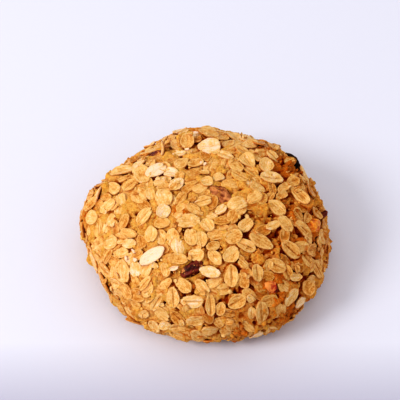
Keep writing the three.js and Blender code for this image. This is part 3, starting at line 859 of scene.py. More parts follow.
class Shading:
    """A material's nodes, added one by one with their inputs."""

    def __init__(self, name):
        self.material = bpy.data.materials.new(name)
        self.material.use_nodes = True
        self.tree = self.material.node_tree
        self.tree.nodes.clear()
        self.surface = self.add("ShaderNodeBsdfPrincipled")
        output = self.add("ShaderNodeOutputMaterial")
        self.link(self.surface.outputs["BSDF"], output.inputs["Surface"])

    def link(self, source, target):
        self.tree.links.new(source, target)

    def add(self, kind, inputs=None, **settings):
        node = self.tree.nodes.new(kind)
        for key, value in settings.items():
            setattr(node, key, value)
        for key, value in (inputs or {}).items():
            self.put(node.inputs[key], value)
        return node

    def put(self, socket, value):
        if isinstance(value, bpy.types.NodeSocket):
            self.link(value, socket)
        elif socket.type == "RGBA" and len(value) == 3:
            socket.default_value = (*value, 1)
        else:
            socket.default_value = value

    def attribute(self, name, output="Fac"):
        return self.add("ShaderNodeAttribute", attribute_name=name).outputs[output]

    def math(self, operation, a, b=0.0, clamp=False):
        node = self.add("ShaderNodeMath", {0: a, 1: b}, operation=operation, use_clamp=clamp)
        return node.outputs[0]

    def mix(self, factor, a, b, blend="MIX"):
        node = self.add("ShaderNodeMix", data_type="RGBA", blend_type=blend)
        self.put(node.inputs["Factor"], factor)
        self.put(node.inputs[6], a)
        self.put(node.inputs[7], b)
        return node.outputs[2]

    def stretch(self, value, low, high, to_low=0.0, to_high=1.0):
        inputs = {"Value": value, "From Min": low, "From Max": high, "To Min": to_low, "To Max": to_high}
        return self.add("ShaderNodeMapRange", inputs).outputs["Result"]

    def place(self, vector=None, scale=(1, 1, 1)):
        vector = vector or self.add("ShaderNodeTexCoord").outputs["Object"]
        return self.add("ShaderNodeMapping", {"Vector": vector, "Scale": scale}).outputs["Vector"]

    def noise(self, vector, size, detail=3.0, roughness=0.55):
        inputs = {"Vector": vector, "Scale": 1 / size, "Detail": detail, "Roughness": roughness}
        return self.add("ShaderNodeTexNoise", inputs).outputs["Fac"]

    def ramp(self, factor, stops):
        node = self.add("ShaderNodeValToRGB", {"Fac": factor})
        elements = node.color_ramp.elements
        while len(elements) < len(stops):
            elements.new(0.5)
        for element, (position, colour) in zip(elements, stops):
            element.position = position
            element.color = (*colour, 1)
        return node.outputs["Color"]

    def bump(self, height, distance, strength=1.0, normal=None):
        inputs = {"Height": height, "Distance": distance, "Strength": strength}
        if normal is not None:
            inputs["Normal"] = normal
        return self.add("ShaderNodeBump", inputs).outputs["Normal"]

    def finish(self, **values):
        for key, value in values.items():
            self.put(self.surface.inputs[key.replace("_", " ")], value)
        return self.material


def times(colour, factor):
    return tuple(factor * channel for channel in colour)


DOUGH_PATCHES = linear(214, 152, 108)
# Painted highlight on dough that stands out above what is round it.
PAINTED_BUMP_LIGHT = linear(244, 186, 84)
UNDERSIDE_DARK, UNDERSIDE_LIGHT = linear(128, 70, 26), linear(178, 108, 46)
UNDERSIDE_SPECKS = linear(108, 56, 22)
PRESSED_FLAKE = linear(208, 148, 78)
PRESSED_FLAKE_SIZE = 0.0085
SWIRL_SIZE, SWIRL_STRENGTH = 0.013, 0.03
CREASE_TINT = (0.66, 0.42, 0.12)
SMEARS = linear(176, 104, 44), linear(226, 166, 92)  # dough on the skin of fruit


def underside_colour(s, where, grain, blotch):
    """Brown from the tray, with flakes pressed flat into it."""
    waves = {"Vector": where, "Scale": 1 / SWIRL_SIZE, "Detail": 2}
    swirl = s.add("ShaderNodeTexNoise", waves).outputs["Color"]
    bend = {0: swirl, 1: (SWIRL_STRENGTH,) * 3, 2: where}
    bent = s.add("ShaderNodeVectorMath", bend, operation="MULTIPLY_ADD").outputs["Vector"]
    pressed = s.add("ShaderNodeTexVoronoi", {"Vector": bent, "Scale": 1 / PRESSED_FLAKE_SIZE})
    flake = s.math("MULTIPLY", s.stretch(pressed.outputs["Distance"], 0.52, 0.34), pressed.outputs["Color"])
    body = s.mix(s.stretch(blotch, 0.3, 0.7), UNDERSIDE_DARK, UNDERSIDE_LIGHT)
    body = s.mix(s.stretch(grain, 0.4, 0.65, 0.0, 0.5), body, UNDERSIDE_SPECKS)
    return s.mix(flake, body, PRESSED_FLAKE)


def dough_material(colours):
    """Baked dough: grainy and toasted in patches, with a painted highlight where it stands out and painted
    shade in the gaps.
    """
    s = Shading("baked_dough")
    where = s.place()
    grain = s.noise(where, 0.0013, detail=5, roughness=0.65)
    blotch = s.noise(where, 0.005, detail=3)
    fine = s.noise(where, 0.0005, detail=3, roughness=0.6)
    deep, dough, toasted = colours.dough_gap_shade[:], colours.dough[:], colours.dough_toasted_and_shade[:]
    body = s.mix(s.stretch(blotch, 0.35, 0.65), times(dough, 0.88), times(dough, 1.1))
    body = s.mix(s.stretch(s.noise(where, 0.008, detail=2), 0.5, 0.65, 0.0, 0.45), body, DOUGH_PATCHES)
    body = s.mix(s.stretch(fine, 0.48, 0.7, 0.0, 0.5), body, times(toasted, 1.5))
    body = s.mix(s.stretch(grain, 0.52, 0.68, 0.0, 0.6), body, toasted)
    body = s.mix(s.stretch(grain, 0.42, 0.3, 0.0, 0.5), body, colours.flake_light[:])
    # Painted highlight: dough that stands out above its surroundings is painted paler.
    body = s.mix(s.stretch(s.attribute("depth"), 0.0, -0.8, 0.0, 0.6), body, PAINTED_BUMP_LIGHT)
    # Toast is partly real browning and partly painted shade on the right side, away from the key light.
    toast = s.math("ADD", s.attribute("toast"), s.stretch(grain, 0.35, 0.65, -0.3, 0.3), clamp=True)
    browner = s.mix(s.stretch(fine, 0.35, 0.65), times(toasted, 0.7), times(toasted, 1.6))
    body = s.mix(s.math("MULTIPLY", toast, 0.9), body, browner)
    # Painted shade: dough deep below the flakes round it is painted toasted, and darkest in the deepest gaps.
    depth = s.math("ADD", s.attribute("depth"), s.stretch(grain, 0.3, 0.7, -0.35, 0.35))
    body = s.mix(s.stretch(depth, 0.35, 0.95), body, toasted)
    body = s.mix(s.stretch(depth, 0.9, 1.7), body, deep)
    body = s.mix(s.attribute("under"), body, underside_colour(s, where, grain, blotch))
    rough = s.stretch(blotch, 0.3, 0.7, 0.5, 0.72)
    normal = s.bump(grain, 0.0009, 1.0, s.bump(fine, 0.0003, 1.0))
    return s.finish(
        Base_Color=body,
        Roughness=rough,
        Normal=normal,
        Specular_IOR_Level=0.05,
        Subsurface_Weight=0.12,
        Subsurface_Radius=(1.0, 0.45, 0.18),
        Subsurface_Scale=0.0006,
    )


def flake_material(colours):
    """Rolled oats: fibrous, darker in the crease, coated with dough in places, with a painted highlight on
    the rim and painted shade on the edges and where other flakes lie on them.
    """
    s = Shading("rolled_oats")
    grain = s.attribute("grain", "Vector")
    fibres = s.noise(s.place(grain, (0.3, 1.7, 1)), 1.0, detail=4, roughness=0.6)
    speckle = s.noise(s.place(grain), 0.55, detail=4, roughness=0.65)
    blotch = s.noise(s.place(grain), 2.2, detail=2)
    level = s.stretch(s.attribute("tone"), 0, 1, -0.15, 1.12)
    level = s.math("ADD", level, s.stretch(blotch, 0.3, 0.7, -0.16, 0.16))
    level = s.math("ADD", level, s.stretch(fibres, 0.3, 0.7, -0.2, 0.2))
    level = s.math("ADD", level, s.stretch(speckle, 0.35, 0.65, -0.12, 0.12))
    shades = [
        (0.0, times(colours.flake_toasted, 0.7)),
        (0.28, colours.flake_toasted[:]),
        (0.56, colours.flake_golden[:]),
        (0.8, colours.flake_light[:]),
        (1.0, colours.flake_pale[:]),
    ]
    body = s.ramp(level, shades)
    creased = s.mix(1.0, body, CREASE_TINT, "MULTIPLY")
    body = s.mix(s.math("MULTIPLY", s.attribute("crease"), 0.7), body, creased)
    # Painted highlight along each flake's raised rim.
    body = s.mix(s.math("MULTIPLY", s.attribute("rim"), 0.4), body, colours.flake_light[:])
    coat = s.math("ADD", s.attribute("coat"), s.stretch(speckle, 0.3, 0.7, -0.35, 0.35))
    cover = s.stretch(coat, 0.4, 0.65)
    paste = s.mix(speckle, times(colours.dough, 0.72), times(colours.dough, 1.12))
    body = s.mix(cover, body, paste)
    # Painted shade on the side walls and undersides.
    body = s.mix(s.math("MULTIPLY", s.attribute("edge"), 0.65), body, times(colours.dough_toasted_and_shade, 1.1))
    # Painted shade where other flakes lie on this one.
    shade = s.math("ADD", s.attribute("shade"), s.stretch(speckle, 0.35, 0.65, -0.12, 0.12))
    body = s.mix(s.stretch(shade, 0.15, 1.0, 0.0, 0.85), body, times(colours.dough_toasted_and_shade, 1.1))
    rough = s.stretch(fibres, 0.3, 0.7, 0.36, 0.55)
    normal = s.bump(fibres, 0.0003, 0.9, s.bump(speckle, 0.0003, 0.9))
    return s.finish(
        Base_Color=body,
        Roughness=rough,
        Normal=normal,
        Specular_IOR_Level=0.22,
        Subsurface_Weight=0.12,
        Subsurface_Radius=(1.0, 0.5, 0.2),
        Subsurface_Scale=0.0004,
    )


class Skin(NamedTuple):
    """How one kind of fruit looks. The slot is also the name of its colour among CookieColours, and the ridge
    colour is partly the skin's own and partly a painted highlight.
    """

    slot: str
    material: str
    ridge: tuple
    roughness: float
    specular: float
    smeared: float
    fold_depth: float = 0.7
    fold_stretch: float = 0.4


RAISIN_SKINS = {
    "dark": Skin("raisin_dark", "dark_skin", (136, 54, 36), roughness=0.42, specular=0.25, smeared=0.9),
    "brown": Skin("raisin_brown", "brown_skin", (216, 148, 98), roughness=0.5, specular=0.15, smeared=0.6),
    "burnt": Skin("raisin_burnt", "burnt_skin", (52, 32, 22), roughness=0.65, specular=0.06, smeared=0.2),
}
DRIED_FRUIT_SKINS = {
    "red": Skin(
        "fruit_red",
        "red_flesh",
        (240, 158, 84),
        roughness=0.36,
        specular=0.25,
        smeared=0.2,
        fold_depth=0.4,
        fold_stretch=0.8,
    ),
    "orange": Skin(
        "fruit_orange",
        "orange_flesh",
        (238, 164, 58),
        roughness=0.34,
        specular=0.3,
        smeared=0.2,
        fold_depth=0.4,
        fold_stretch=0.8,
    ),
}


def skin_material(skin, colours):
    """Wrinkled skin smeared with dough, dark in the furrows and lighter on the ridges: partly the skin's own
    tone, partly painted shade in the furrows and a painted highlight on the ridges.
    """
    s = Shading(skin.material)
    colour = getattr(colours, skin.slot)[:]
    where = s.place()
    ridges = s.attribute("ridge")
    bloom = s.noise(where, 0.0012, detail=4)
    fine = s.noise(where, 0.00035, detail=3)
    level = s.math("ADD", ridges, s.stretch(bloom, 0.3, 0.7, -0.25, 0.25))
    # Furrows painted dark as shade, ridges painted light as a highlight, on top of the skin's own tone.
    body = s.ramp(level, [(0.2, times(colour, 0.25)), (0.55, colour), (0.95, linear(*skin.ridge))])
    smear = s.stretch(s.noise(where, 0.0026, detail=4, roughness=0.6), 0.54, 0.59, 0.0, skin.smeared)
    body = s.mix(smear, body, s.mix(s.stretch(fine, 0.4, 0.6), *SMEARS))
    normal = s.bump(fine, 0.0001, 0.6, s.bump(bloom, 0.0002, 0.6))
    rough = s.stretch(bloom, 0.3, 0.7, skin.roughness - 0.08, skin.roughness + 0.12)
    return s.finish(
        Base_Color=body,
        Roughness=rough,
        Normal=normal,
        Specular_IOR_Level=skin.specular,
        Subsurface_Weight=0.1,
        Subsurface_Radius=(1.0, 0.3, 0.2),
        Subsurface_Scale=0.0008,
    )


def crumb_material(colours):
    s = Shading("crumbs_of_dough")
    where = s.place()
    tone = s.attribute("tone")
    grain = s.noise(where, 0.0007, detail=3)
    level = s.math("ADD", tone, s.stretch(grain, 0.3, 0.7, -0.15, 0.15))
    body = s.ramp(
        level,
        [
            (0.0, times(colours.dough_toasted_and_shade, 0.6)),
            (0.35, colours.dough_toasted_and_shade[:]),
            (0.7, colours.dough[:]),
            (1.0, colours.flake_light[:]),
        ],
    )
    return s.finish(
        Base_Color=body,
        Roughness=s.stretch(grain, 0.3, 0.7, 0.5, 0.7),
        Normal=s.bump(grain, 0.0003, 0.8),
        Specular_IOR_Level=0.15,
    )


def floor_material(colours):
    s = Shading("pale_surface")
    where = s.place()
    fine = s.noise(where, 0.004, detail=3)
    back = s.add("ShaderNodeSeparateXYZ", {"Vector": where}).outputs["Y"]
    # Painted shade: darker towards the camera, standing in for the light falling off.
    body = s.mix(s.stretch(back, -0.09, -0.045), colours.floor_front_painted_shade[:], colours.floor[:])
    body = s.mix(fine, body, s.mix(1.0, body, (0.995, 0.995, 0.995), "MULTIPLY"))
    return s.finish(Base_Color=body, Roughness=s.stretch(fine, 0, 1, 0.7, 0.75), Specular_IOR_Level=0.15)


# ---------------------------------------------------------------------------------------------------------
# The dough.


class Patch(NamedTuple):
    """A patch of the dough that browned more."""

    at: tuple
    reach: float
    strength: float


TOASTED_PATCHES = [
    Patch(at=(31, 36), reach=8, strength=1.2),
    Patch(at=(27, 31), reach=5, strength=0.8),
    Patch(at=(346, 21), reach=9, strength=0.9),
    Patch(at=(332, 25), reach=6, strength=0.6),
    Patch(at=(317, 23), reach=4, strength=0.7),
    Patch(at=(310, 5), reach=6, strength=0.9),
    Patch(at=(303, 22), reach=6.5, strength=0.9),
    Patch(at=(350, 37), reach=3.5, strength=0.9),
    Patch(at=(283, 17), reach=4, strength=0.5),
    Patch(at=(257, 39), reach=3.5, strength=0.4),
    Patch(at=(219, 62), reach=3.5, strength=0.7),
    Patch(at=(231, 64), reach=3, strength=0.8),
    Patch(at=(179, 62), reach=3, strength=0.5),
    Patch(at=(181, 19), reach=5.5, strength=0.8),
    Patch(at=(180, 9), reach=3, strength=0.7),
    Patch(at=(230, 3), reach=4.5, strength=0.7),
    Patch(at=(244, 1), reach=3, strength=0.7),
    Patch(at=(262, 2), reach=3.5, strength=0.7),
    Patch(at=(285, 4), reach=3.5, strength=0.7),
    Patch(at=(101, 29), reach=3, strength=0.7),
    Patch(at=(92, 35), reach=3.5, strength=0.8),
    Patch(at=(49, 38), reach=3.5, strength=0.8),
]


class Hole(NamedTuple):
    """A dark hole or crack between flakes. Half is half its length and half its width."""

    at: tuple
    turn: float
    half: tuple
    depth: float


HOLES = [
    Hole(at=(284, 23), turn=81, half=(3.2, 0.8), depth=2.8),
    Hole(at=(282, 19), turn=6, half=(1.7, 0.7), depth=2.4),
    Hole(at=(279, 16), turn=71, half=(2.2, 0.7), depth=2.2),
    Hole(at=(268, 31), turn=40, half=(2.2, 0.7), depth=2),
    Hole(at=(257, 24), turn=100, half=(2.1, 0.7), depth=2),
    Hole(at=(276, 9), turn=110, half=(1.4, 1.1), depth=2.4),
    Hole(at=(268, 9), turn=106, half=(0.9, 0.8), depth=2),
    Hole(at=(255, 16), turn=122, half=(0.9, 0.8), depth=2),
    Hole(at=(250, 11), turn=111, half=(1, 0.8), depth=2),
    Hole(at=(248, 17), turn=134, half=(0.9, 0.8), depth=2),
    Hole(at=(237, 12), turn=5, half=(1.9, 0.8), depth=1.8),
    Hole(at=(209, 13), turn=32, half=(1.3, 0.8), depth=2),
    Hole(at=(200, 30), turn=16, half=(1.1, 0.8), depth=2.2),
    Hole(at=(209, 41), turn=8, half=(1.1, 0.8), depth=1.8),
    Hole(at=(197, 43), turn=17, half=(1.1, 0.8), depth=1.8),
    Hole(at=(212, 21), turn=14, half=(1, 0.8), depth=1.8),
    Hole(at=(291, 8), turn=114, half=(1.2, 0.8), depth=2.2),
    Hole(at=(299, 4), turn=114, half=(1.4, 0.8), depth=2),
    Hole(at=(305, 26), turn=138, half=(3.2, 0.8), depth=2.2),
    Hole(at=(305, 16), turn=116, half=(1.4, 0.9), depth=2.2),
    Hole(at=(309, 11), turn=114, half=(3, 0.8), depth=2.2),
    Hole(at=(324, 16), turn=91, half=(1.8, 0.9), depth=2.4),
    Hole(at=(332, 24), turn=61, half=(1.6, 1.1), depth=2.4),
    Hole(at=(332, 26), turn=78, half=(2.4, 1), depth=2.4),
    Hole(at=(345, 27), turn=23, half=(3, 1.1), depth=2.6),
    Hole(at=(346, 16), turn=116, half=(3.4, 1.5), depth=2.8),
    Hole(at=(11, 45), turn=103, half=(3.2, 0.9), depth=2.2),
    Hole(at=(27, 52), turn=37, half=(1.6, 0.9), depth=2),
    Hole(at=(88, 35), turn=176, half=(2, 1.2), depth=2.2),
    Hole(at=(64, 46), turn=122, half=(1.4, 0.9), depth=2),
    Hole(at=(121, 54), turn=79, half=(1.4, 0.8), depth=2),
    Hole(at=(357, 48), turn=69, half=(1.4, 0.9), depth=2),
]


def slow_relief(points):
    """The broad lumps of the dough, which flakes follow."""
    return 0.7 * noise(points, 9, seed=1) + 0.35 * noise(points, 4.5, seed=2)


def quick_relief(points, crags):
    """The fine lumps and pits of the dough."""
    rough = 0.5 * noise(points, 2.6, seed=3) + 0.4 * noise(points, 1.5, seed=4)
    pits = -1.3 * smoothstep(0.28, 0.7, noise(points, 2.1, seed=6))
    torn = 0.6 * np.abs(noise(points, 3.2, seed=7)) + 1.1 * np.abs(noise(points, 1.5, seed=8)) - 0.6
    return rough + pits + crags * 1.8 * torn


def near_place(points, place, reach):
    """How near points are to a place, from 0 far off to 1 at its middle."""
    middle = dough_points(direction_of(place))
    return np.exp(-np.sum((points - middle) ** 2, axis=1) / reach**2)


def close_to(flake, points, margin=0):
    """The numbers of the points that a flake can touch."""
    return np.flatnonzero(np.sum((points - flake.middle) ** 2, axis=1) < (flake.length / 2 + margin) ** 2)


def same_side(local, limit):
    """Which local points are on the same side of the mound, and not through it."""
    return np.abs(local[:, 2]) < limit


TALLEST_SEAT = 3.5
TALLEST_CANOPY = 4
FREE_PASTE = 0.15  # less dough on a flake's edge than this leaves the edge free


def seat(heights, canopy, points, normals, flake, wobble):
    """Raises the dough to carry a flake, and over one side of its edge as far as the flake is embedded."""
    if flake.axes[2] @ dough_axes(unit(flake.middle - HEART))[2] < STEEP:
        return
    half = flake.thickness / 2
    close = close_to(flake, points, 3)
    local = flake.local(points[close])
    share = flake.share(local)
    facing = np.maximum(normals[close] @ flake.axes[2], 0.5)
    off = (share - 1) * flake.width / 2
    sunk_side = 2.4 * flake.seed % (2 * np.pi)
    side = np.cos(np.arctan2(local[:, 1], local[:, 0]) - sunk_side)
    paste = np.clip(flake.embedded * (0.2 + 1.3 * wobble[close] + 1.1 * side), 0, 1.1)
    free = paste < FREE_PASTE
    lip = half * (2.5 * paste - 1.3)
    level = np.where(off < 0, np.maximum(-1.5 * half, lip - 0.8 * np.minimum(-off, 1)), lip)
    edge = np.where(free, -0.55, 0)
    spread = np.where(free, 0.25, 0.3 + 1.2 * paste)
    weight = np.where(off < edge, 1, np.exp(-(((off - edge) / spread) ** 2))) * same_side(local, 4)
    raised = heights[close] + weight * (level - local[:, 2] - heights[close] * facing) / facing
    heights[close] = np.maximum(heights[close], np.minimum(raised, TALLEST_SEAT))
    top = np.minimum((half - local[:, 2]) / facing, TALLEST_CANOPY)
    canopy[close] = np.where(share < 0.97, np.maximum(canopy[close], top), canopy[close])


def clear_top(heights, points, normals, flake):
    """Keeps the dough out of the middle of a flake's upper face."""
    close = close_to(flake, points)
    raised = points[close] + normals[close] * heights[close, None]
    local = flake.local(raised)
    middle = flake.share(local) < 0.88 - 0.35 * flake.embedded
    over = np.where(middle & (np.abs(local[:, 2]) < 1.2), np.maximum(local[:, 2] + 0.15, 0), 0)
    heights[close] -= over / np.maximum(normals[close] @ flake.axes[2], 0.5)


def part_from_edge(heights, points, flake, wobble, depth):
    """A furrow in the dough along the free parts of a flake's edge."""
    close = close_to(flake, points, 2)
    local = flake.local(points[close])
    off = (flake.share(local) - 1) * flake.width / 2
    free = smoothstep(0.8, 0.2, flake.embedded * (0.5 + wobble[close])) * same_side(local, 3)
    heights[close] -= depth[close] * free * np.exp(-(((off - 0.25) / 0.35) ** 2))


def emboss(heights, points, ghost):
    """Raises the dough over a flake that it covers: an oval with a crease along it."""
    close = close_to(ghost, points, 1)
    local = ghost.local(points[close])
    share = ghost.share(local)
    crease = 0.25 * np.exp(-((local[:, 1] / 0.4) ** 2))
    slant = 0.12 * local[:, 0] * ghost.crease
    top = (0.75 * ghost.thickness - crease - slant) * smoothstep(1.12, 0.82, share)
    heights[close] = np.maximum(heights[close], heights[close] * 0.35 + top)


def ghosts(count):
    """Flakes that the dough covers. The crease of each is how much it slants."""
    rng = np.random.default_rng(COVERED_SEED)
    for i, direction in enumerate(scattered(count, COVERED_SPOT_SEED)):
        length = rng.uniform(4.5, 8.5)
        middle, axes = lying_on_dough(direction, rng.uniform(0, 180), 0)
        width, thickness = length / rng.uniform(1.3, 1.8), rng.uniform(0.6, 1.3)
        yield Flake(middle, axes, length, width, thickness, tone=0, crease=rng.normal(), seed=i)


def blurred(values, triangles, rounds):
    """Values spread evenly over the neighbouring points, again and again."""
    ends = np.concatenate([triangles[:, [0, 1]], triangles[:, [1, 2]], triangles[:, [2, 0]]])
    count = np.bincount(ends[:, 0], minlength=len(values)) + 1
    for _ in range(rounds):
        total = np.bincount(ends[:, 0], values[ends[:, 1]], minlength=len(values))
        values = (total + values) / count
    return values


def dough_heights(points, normals, sizes):
    """How far the dough, and what lies on it, stands out at each point of the plain mound."""
    crags = sum(near_place(points, crag, 5.5) for crag in SHOULDER_CRAGS)
    wobble = 0.5 + 0.5 * noise(points, 2.4, seed=11)
    brown = browned_and_shaded(unit(points - HEART))
    heights = slow_relief(points) - sizes.dough_drop / MM * (0.75 + 0.7 * brown)
    for ghost in ghosts(sizes.covered_flakes):
        emboss(heights, points, ghost)
    lumps = 1.2 * brown * smoothstep(0.05, 0.6, noise(points, 3.6, seed=15))
    rough = (0.85 + 1.4 * brown) * quick_relief(points, np.minimum(crags, 1))
    heights = heights + sizes.relief * (rough + lumps)
    for crag in CRAGS:
        raise_crag(heights, points, crag)
    for fruit in FRUIT:
        sink_round(heights, points, fruit, wobble)
    canopy = heights.copy()
    for flake in laid_flakes().flakes:
        seat(heights, canopy, points, normals, flake, wobble)
    for flake in laid_flakes().flakes:
        clear_top(heights, points, normals, flake)
        part_from_edge(heights, points, flake, wobble, 0.3 + 0.4 * brown)
    for hole in HOLES:
        dig(heights, points, hole, wobble)
    return heights, np.maximum(canopy, heights)


def local_to(place, points):
    """Points in the frame of a place on the dough."""
    middle, axes = lying_on_dough(direction_of(place), place.turn, 0)
    return (points - middle) @ axes.T


def raise_crag(heights, points, crag):
    """Raises a knob of toasted dough."""
    local = local_to(crag, points)
    half = np.array(crag.size) / 2
    share = oval_share(local, half)
    top = crag.proud + half[2] * np.sqrt(np.clip(1 - share**2, 0, 1)) + 0.5 * noise(points, 1.1, seed=9)
    inside = (share < 1) & same_side(local, 6)
    heights[inside] = np.maximum(heights[inside], top[inside] - 0.6)


def sink_round(heights, points, fruit, wobble):
    """Sinks the pocket that a piece of fruit lies in."""
    local = local_to(fruit, points)
    half = np.array(fruit.size) / 2
    half[0] *= math.cos(math.radians(fruit.tilt * 0.8))
    floor = fruit.proud - 0.8 * half[2]
    depth = smoothstep(1, 0.75, oval_share(local, half) + 0.6 * (wobble - 0.5)) * same_side(local, 7)
    heights += depth * (floor - heights)


def dig(heights, points, hole, wobble):
    """Digs a torn hole or crack."""
    local = local_to(hole, points)
    share = oval_share(local, hole.half) + 0.5 * (wobble - 0.5)
    heights -= hole.depth * smoothstep(1.25, 0.4, share) * same_side(local, 6)


def flatten_underside(raised, directions):
    """Brings dough that is below the table up to it, with a few shallow dimples."""
    on_table = HEART + directions * (HEART[2] / np.maximum(-directions[:, 2], 1e-6))[:, None]
    below = raised[:, 2] < 0
    raised[below] = on_table[below]
    dimples = np.maximum(0.28 * noise(raised, 3.2, seed=12) + 0.18 * noise(raised, 1.2, seed=13), 0)
    raised[below, 2] = dimples[below]


def toast_at(points, raised, directions):
    """How toasted the dough is at each point, from 0 to 1; the right side's share is partly baked browning
    and partly painted shade.
    """
    toast = sum(patch.strength * near_place(points, patch, patch.reach) for patch in TOASTED_PATCHES)
    toast = toast + 0.4 * smoothstep(6, 1, raised[:, 2])
    toast = toast + 0.25 * smoothstep(0.2, 0.8, noise(points, 8, seed=14))
    return np.clip(toast + 0.4 * browned_and_shaded(directions), 0, 1)


class COOKIE_OT_dough(bpy.types.Operator):
    """Make the baked dough, with seats for the flakes, pockets, crags and a flat browned underside"""

    bl_idname = "cookie.dough"
    bl_label = "Dough"

    def execute(self, context):
        sizes, colours = context.scene.cookie_sizes, context.scene.cookie_colours
        directions, triangles = geodesic(sizes.dough_detail)
        points = dough_points(directions)
        normals = dough_axes(directions)[:, 2]
        heights, canopy = dough_heights(points, normals, sizes)
        raised = points + normals * heights[:, None]
        under = smoothstep(1.6, 0.2, raised[:, 2]) * (directions[:, 2] < 0)
        flatten_underside(raised, directions)
        near_crags = sum(near_place(points, crag, 5) for crag in SHOULDER_CRAGS)
        # The depth below the blurred canopy of flakes is painted as shade in the gaps and as a highlight on
        # bumps, with the shade stronger on the right side, away from the key light, and round the crags.
        gap_shade_strength = 1 + 0.7 * browned_and_shaded(directions) + near_crags
        attributes = {
            "depth": (blurred(canopy, triangles, rounds=14) - heights) * gap_shade_strength,
            "toast": toast_at(points, raised, directions),
            "under": under,
        }
        add_piece("dough", raised, triangles, attributes, ["cookie"], "dough", dough_material(colours))
        return {"FINISHED"}


# ---------------------------------------------------------------------------------------------------------
# Flakes, scraps of flake and crumbs.

# Places of nearly white bits of flake.
PALE_BITS = [(219, 31), (218, 26.5), (223, 29), (110, 49), (96, 66.5), (101, 65)]
PALE_BIT_LENGTH, PALE_BIT_WIDTH, PALE_BIT_THICKNESS = (1.6, 2.8), (1.2, 1.8), 0.7
SCRAP_LENGTH, SCRAP_SLENDERNESS, SCRAP_THICKNESS = (1.6, 4), (0.4, 0.8), 0.6
SCRAP_TILT_SPREAD = 16
CRUMB_LENGTH = (0.6, 2.3)
BROKEN_FLAKES, BROKEN_SCRAPS = 0.12, 0.6  # the share of each with an end broken off
TABLE_GAP = 0.05

FLAKE_SPOKES = 30
FLAKE_RINGS = (0.16, 0.34, 0.5, 0.66, 0.79, 0.89, 0.96, 1.0)  # of the upper face, as shares of its size
FLAKE_UNDER_RINGS = (1.0, 0.93, 0.6)


def disc_triangles(spokes, rings):
    """Triangles of a closed disc: a middle point, rings of spokes points, and a last point below."""
    step = np.arange(spokes)
    ahead = (step + 1) % spokes
    triangles = [np.column_stack([np.zeros(spokes, int), 1 + step, 1 + ahead])]
    for ring in range(rings - 1):
        a, b = 1 + ring * spokes, 1 + (ring + 1) * spokes
        triangles.append(np.column_stack([a + step, b + step, b + ahead]))
        triangles.append(np.column_stack([a + step, b + ahead, a + ahead]))
    last = 1 + (rings - 1) * spokes
    triangles.append(np.column_stack([last + step, np.full(spokes, last + spokes), last + ahead]))
    return np.concatenate(triangles)


def flake_outline(theta, rng, ragged):
    """The outline's size at each angle: oval, uneven, often split at an end, and sometimes broken off."""
    outline = np.ones_like(theta)
    for waves in range(2, 8):
        outline += 0.065 / waves * rng.normal() * np.cos(waves * theta + rng.uniform(0, 2 * np.pi))
    outline += ragged * 0.03 * rng.normal(size=theta.size)
    if rng.random() < 0.35:
        end = rng.choice([0, np.pi]) + rng.normal(0, 0.25)
        off = np.angle(np.exp(1j * (theta - end)))
        outline -= rng.uniform(0.08, 0.25) * np.exp(-((off / 0.13) ** 2))
    return outline


def flake_points(flake, broken):
    """Points of one flake in its own frame, how far out and how creased each is, and how much painted shade
    it takes at the edge.

    Broken is the chance that an end is broken off.
    """
    rng = np.random.default_rng(flake.seed)
    phi = np.arange(FLAKE_SPOKES) * 2 * np.pi / FLAKE_SPOKES
    theta = phi - 0.2 * np.sin(2 * phi)
    ragged = 1.0 if rng.random() < 0.4 else 0.25
    outline = flake_outline(theta, rng, ragged)
    shares = np.array(FLAKE_RINGS + FLAKE_UNDER_RINGS)
    share = np.concatenate([[0], np.repeat(shares, FLAKE_SPOKES), [0]])
    spokes = np.concatenate([[0], np.tile(theta, len(shares)), [0]])
    size = np.concatenate([[1], np.tile(outline, len(shares)), [1]])
    x = share * size * np.cos(spokes)
    y = share * size * np.sin(spokes) * (1 - 0.1 * np.cos(spokes) * rng.uniform(-1, 1))
    if rng.random() < broken:
        cut = rng.uniform(0.1, 0.6)
        x = np.where(x > cut, cut + 0.12 * (x - cut) + 0.05 * np.sin(9 * y), x)
    upper = np.arange(share.size) <= len(FLAKE_RINGS) * FLAKE_SPOKES
    t = flake.thickness
    z = np.where(upper, t * (0.5 - 0.12 * share**12), -t * (0.5 - 0.1 * share**4))
    lobes = rng.uniform(0, 0.1) * (4 * np.abs(y) * (1 - np.abs(y))) * np.clip(1 - x**2, 0, 1)
    groove = np.exp(-((y * flake.width / 2 / 0.26) ** 2)) * np.clip(1 - x**4, 0, 1)
    fibres = 0.02 * np.sin(y * flake.width * np.pi / 0.8 + rng.uniform(0, 6) + 0.8 * np.sin(2 * x))
    rim = 0.1 * np.exp(-(((share - 0.9) / 0.08) ** 2))
    z = z + upper * (lobes + rim - flake.crease * groove + fibres * (1 - share**2))
    cup, bow, twist = rng.normal(0.2, 0.28), rng.normal(0, 0.32), rng.normal(0, 0.28)
    z = z + cup * y**2 + bow * x**2 + twist * x * y
    curl = ragged * 0.28 * noise(np.column_stack([x * 2, y * 2, np.full(x.size, flake.seed)]), 0.9) * share**3
    z = z + curl
    points = np.column_stack([x * flake.length / 2, y * flake.width / 2, z])
    # Painted shade: full on the side wall and underside, faint near the upper face's edge.
    edge = np.where(upper, 0.2 * smoothstep(0.93, 1, share), 0.8)
    return points, share, groove * min(flake.crease / 0.3, 1) * upper, edge


def shaded_by(others, flake, points):
    """How close points of a flake are to the edges of flakes that lie on it, from 0 to 1, for painted shade.
    """
    shade = np.zeros(len(points))
    for other in others:
        if other is not flake:
            local = other.local(points)
            beside = (other.share(local) - 1) * other.width / 2
            below = smoothstep(0.1, -0.35, local[:, 2]) * smoothstep(-3, -2, local[:, 2])
            shade = np.maximum(shade, below * smoothstep(1.1, 0, beside))
    return shade


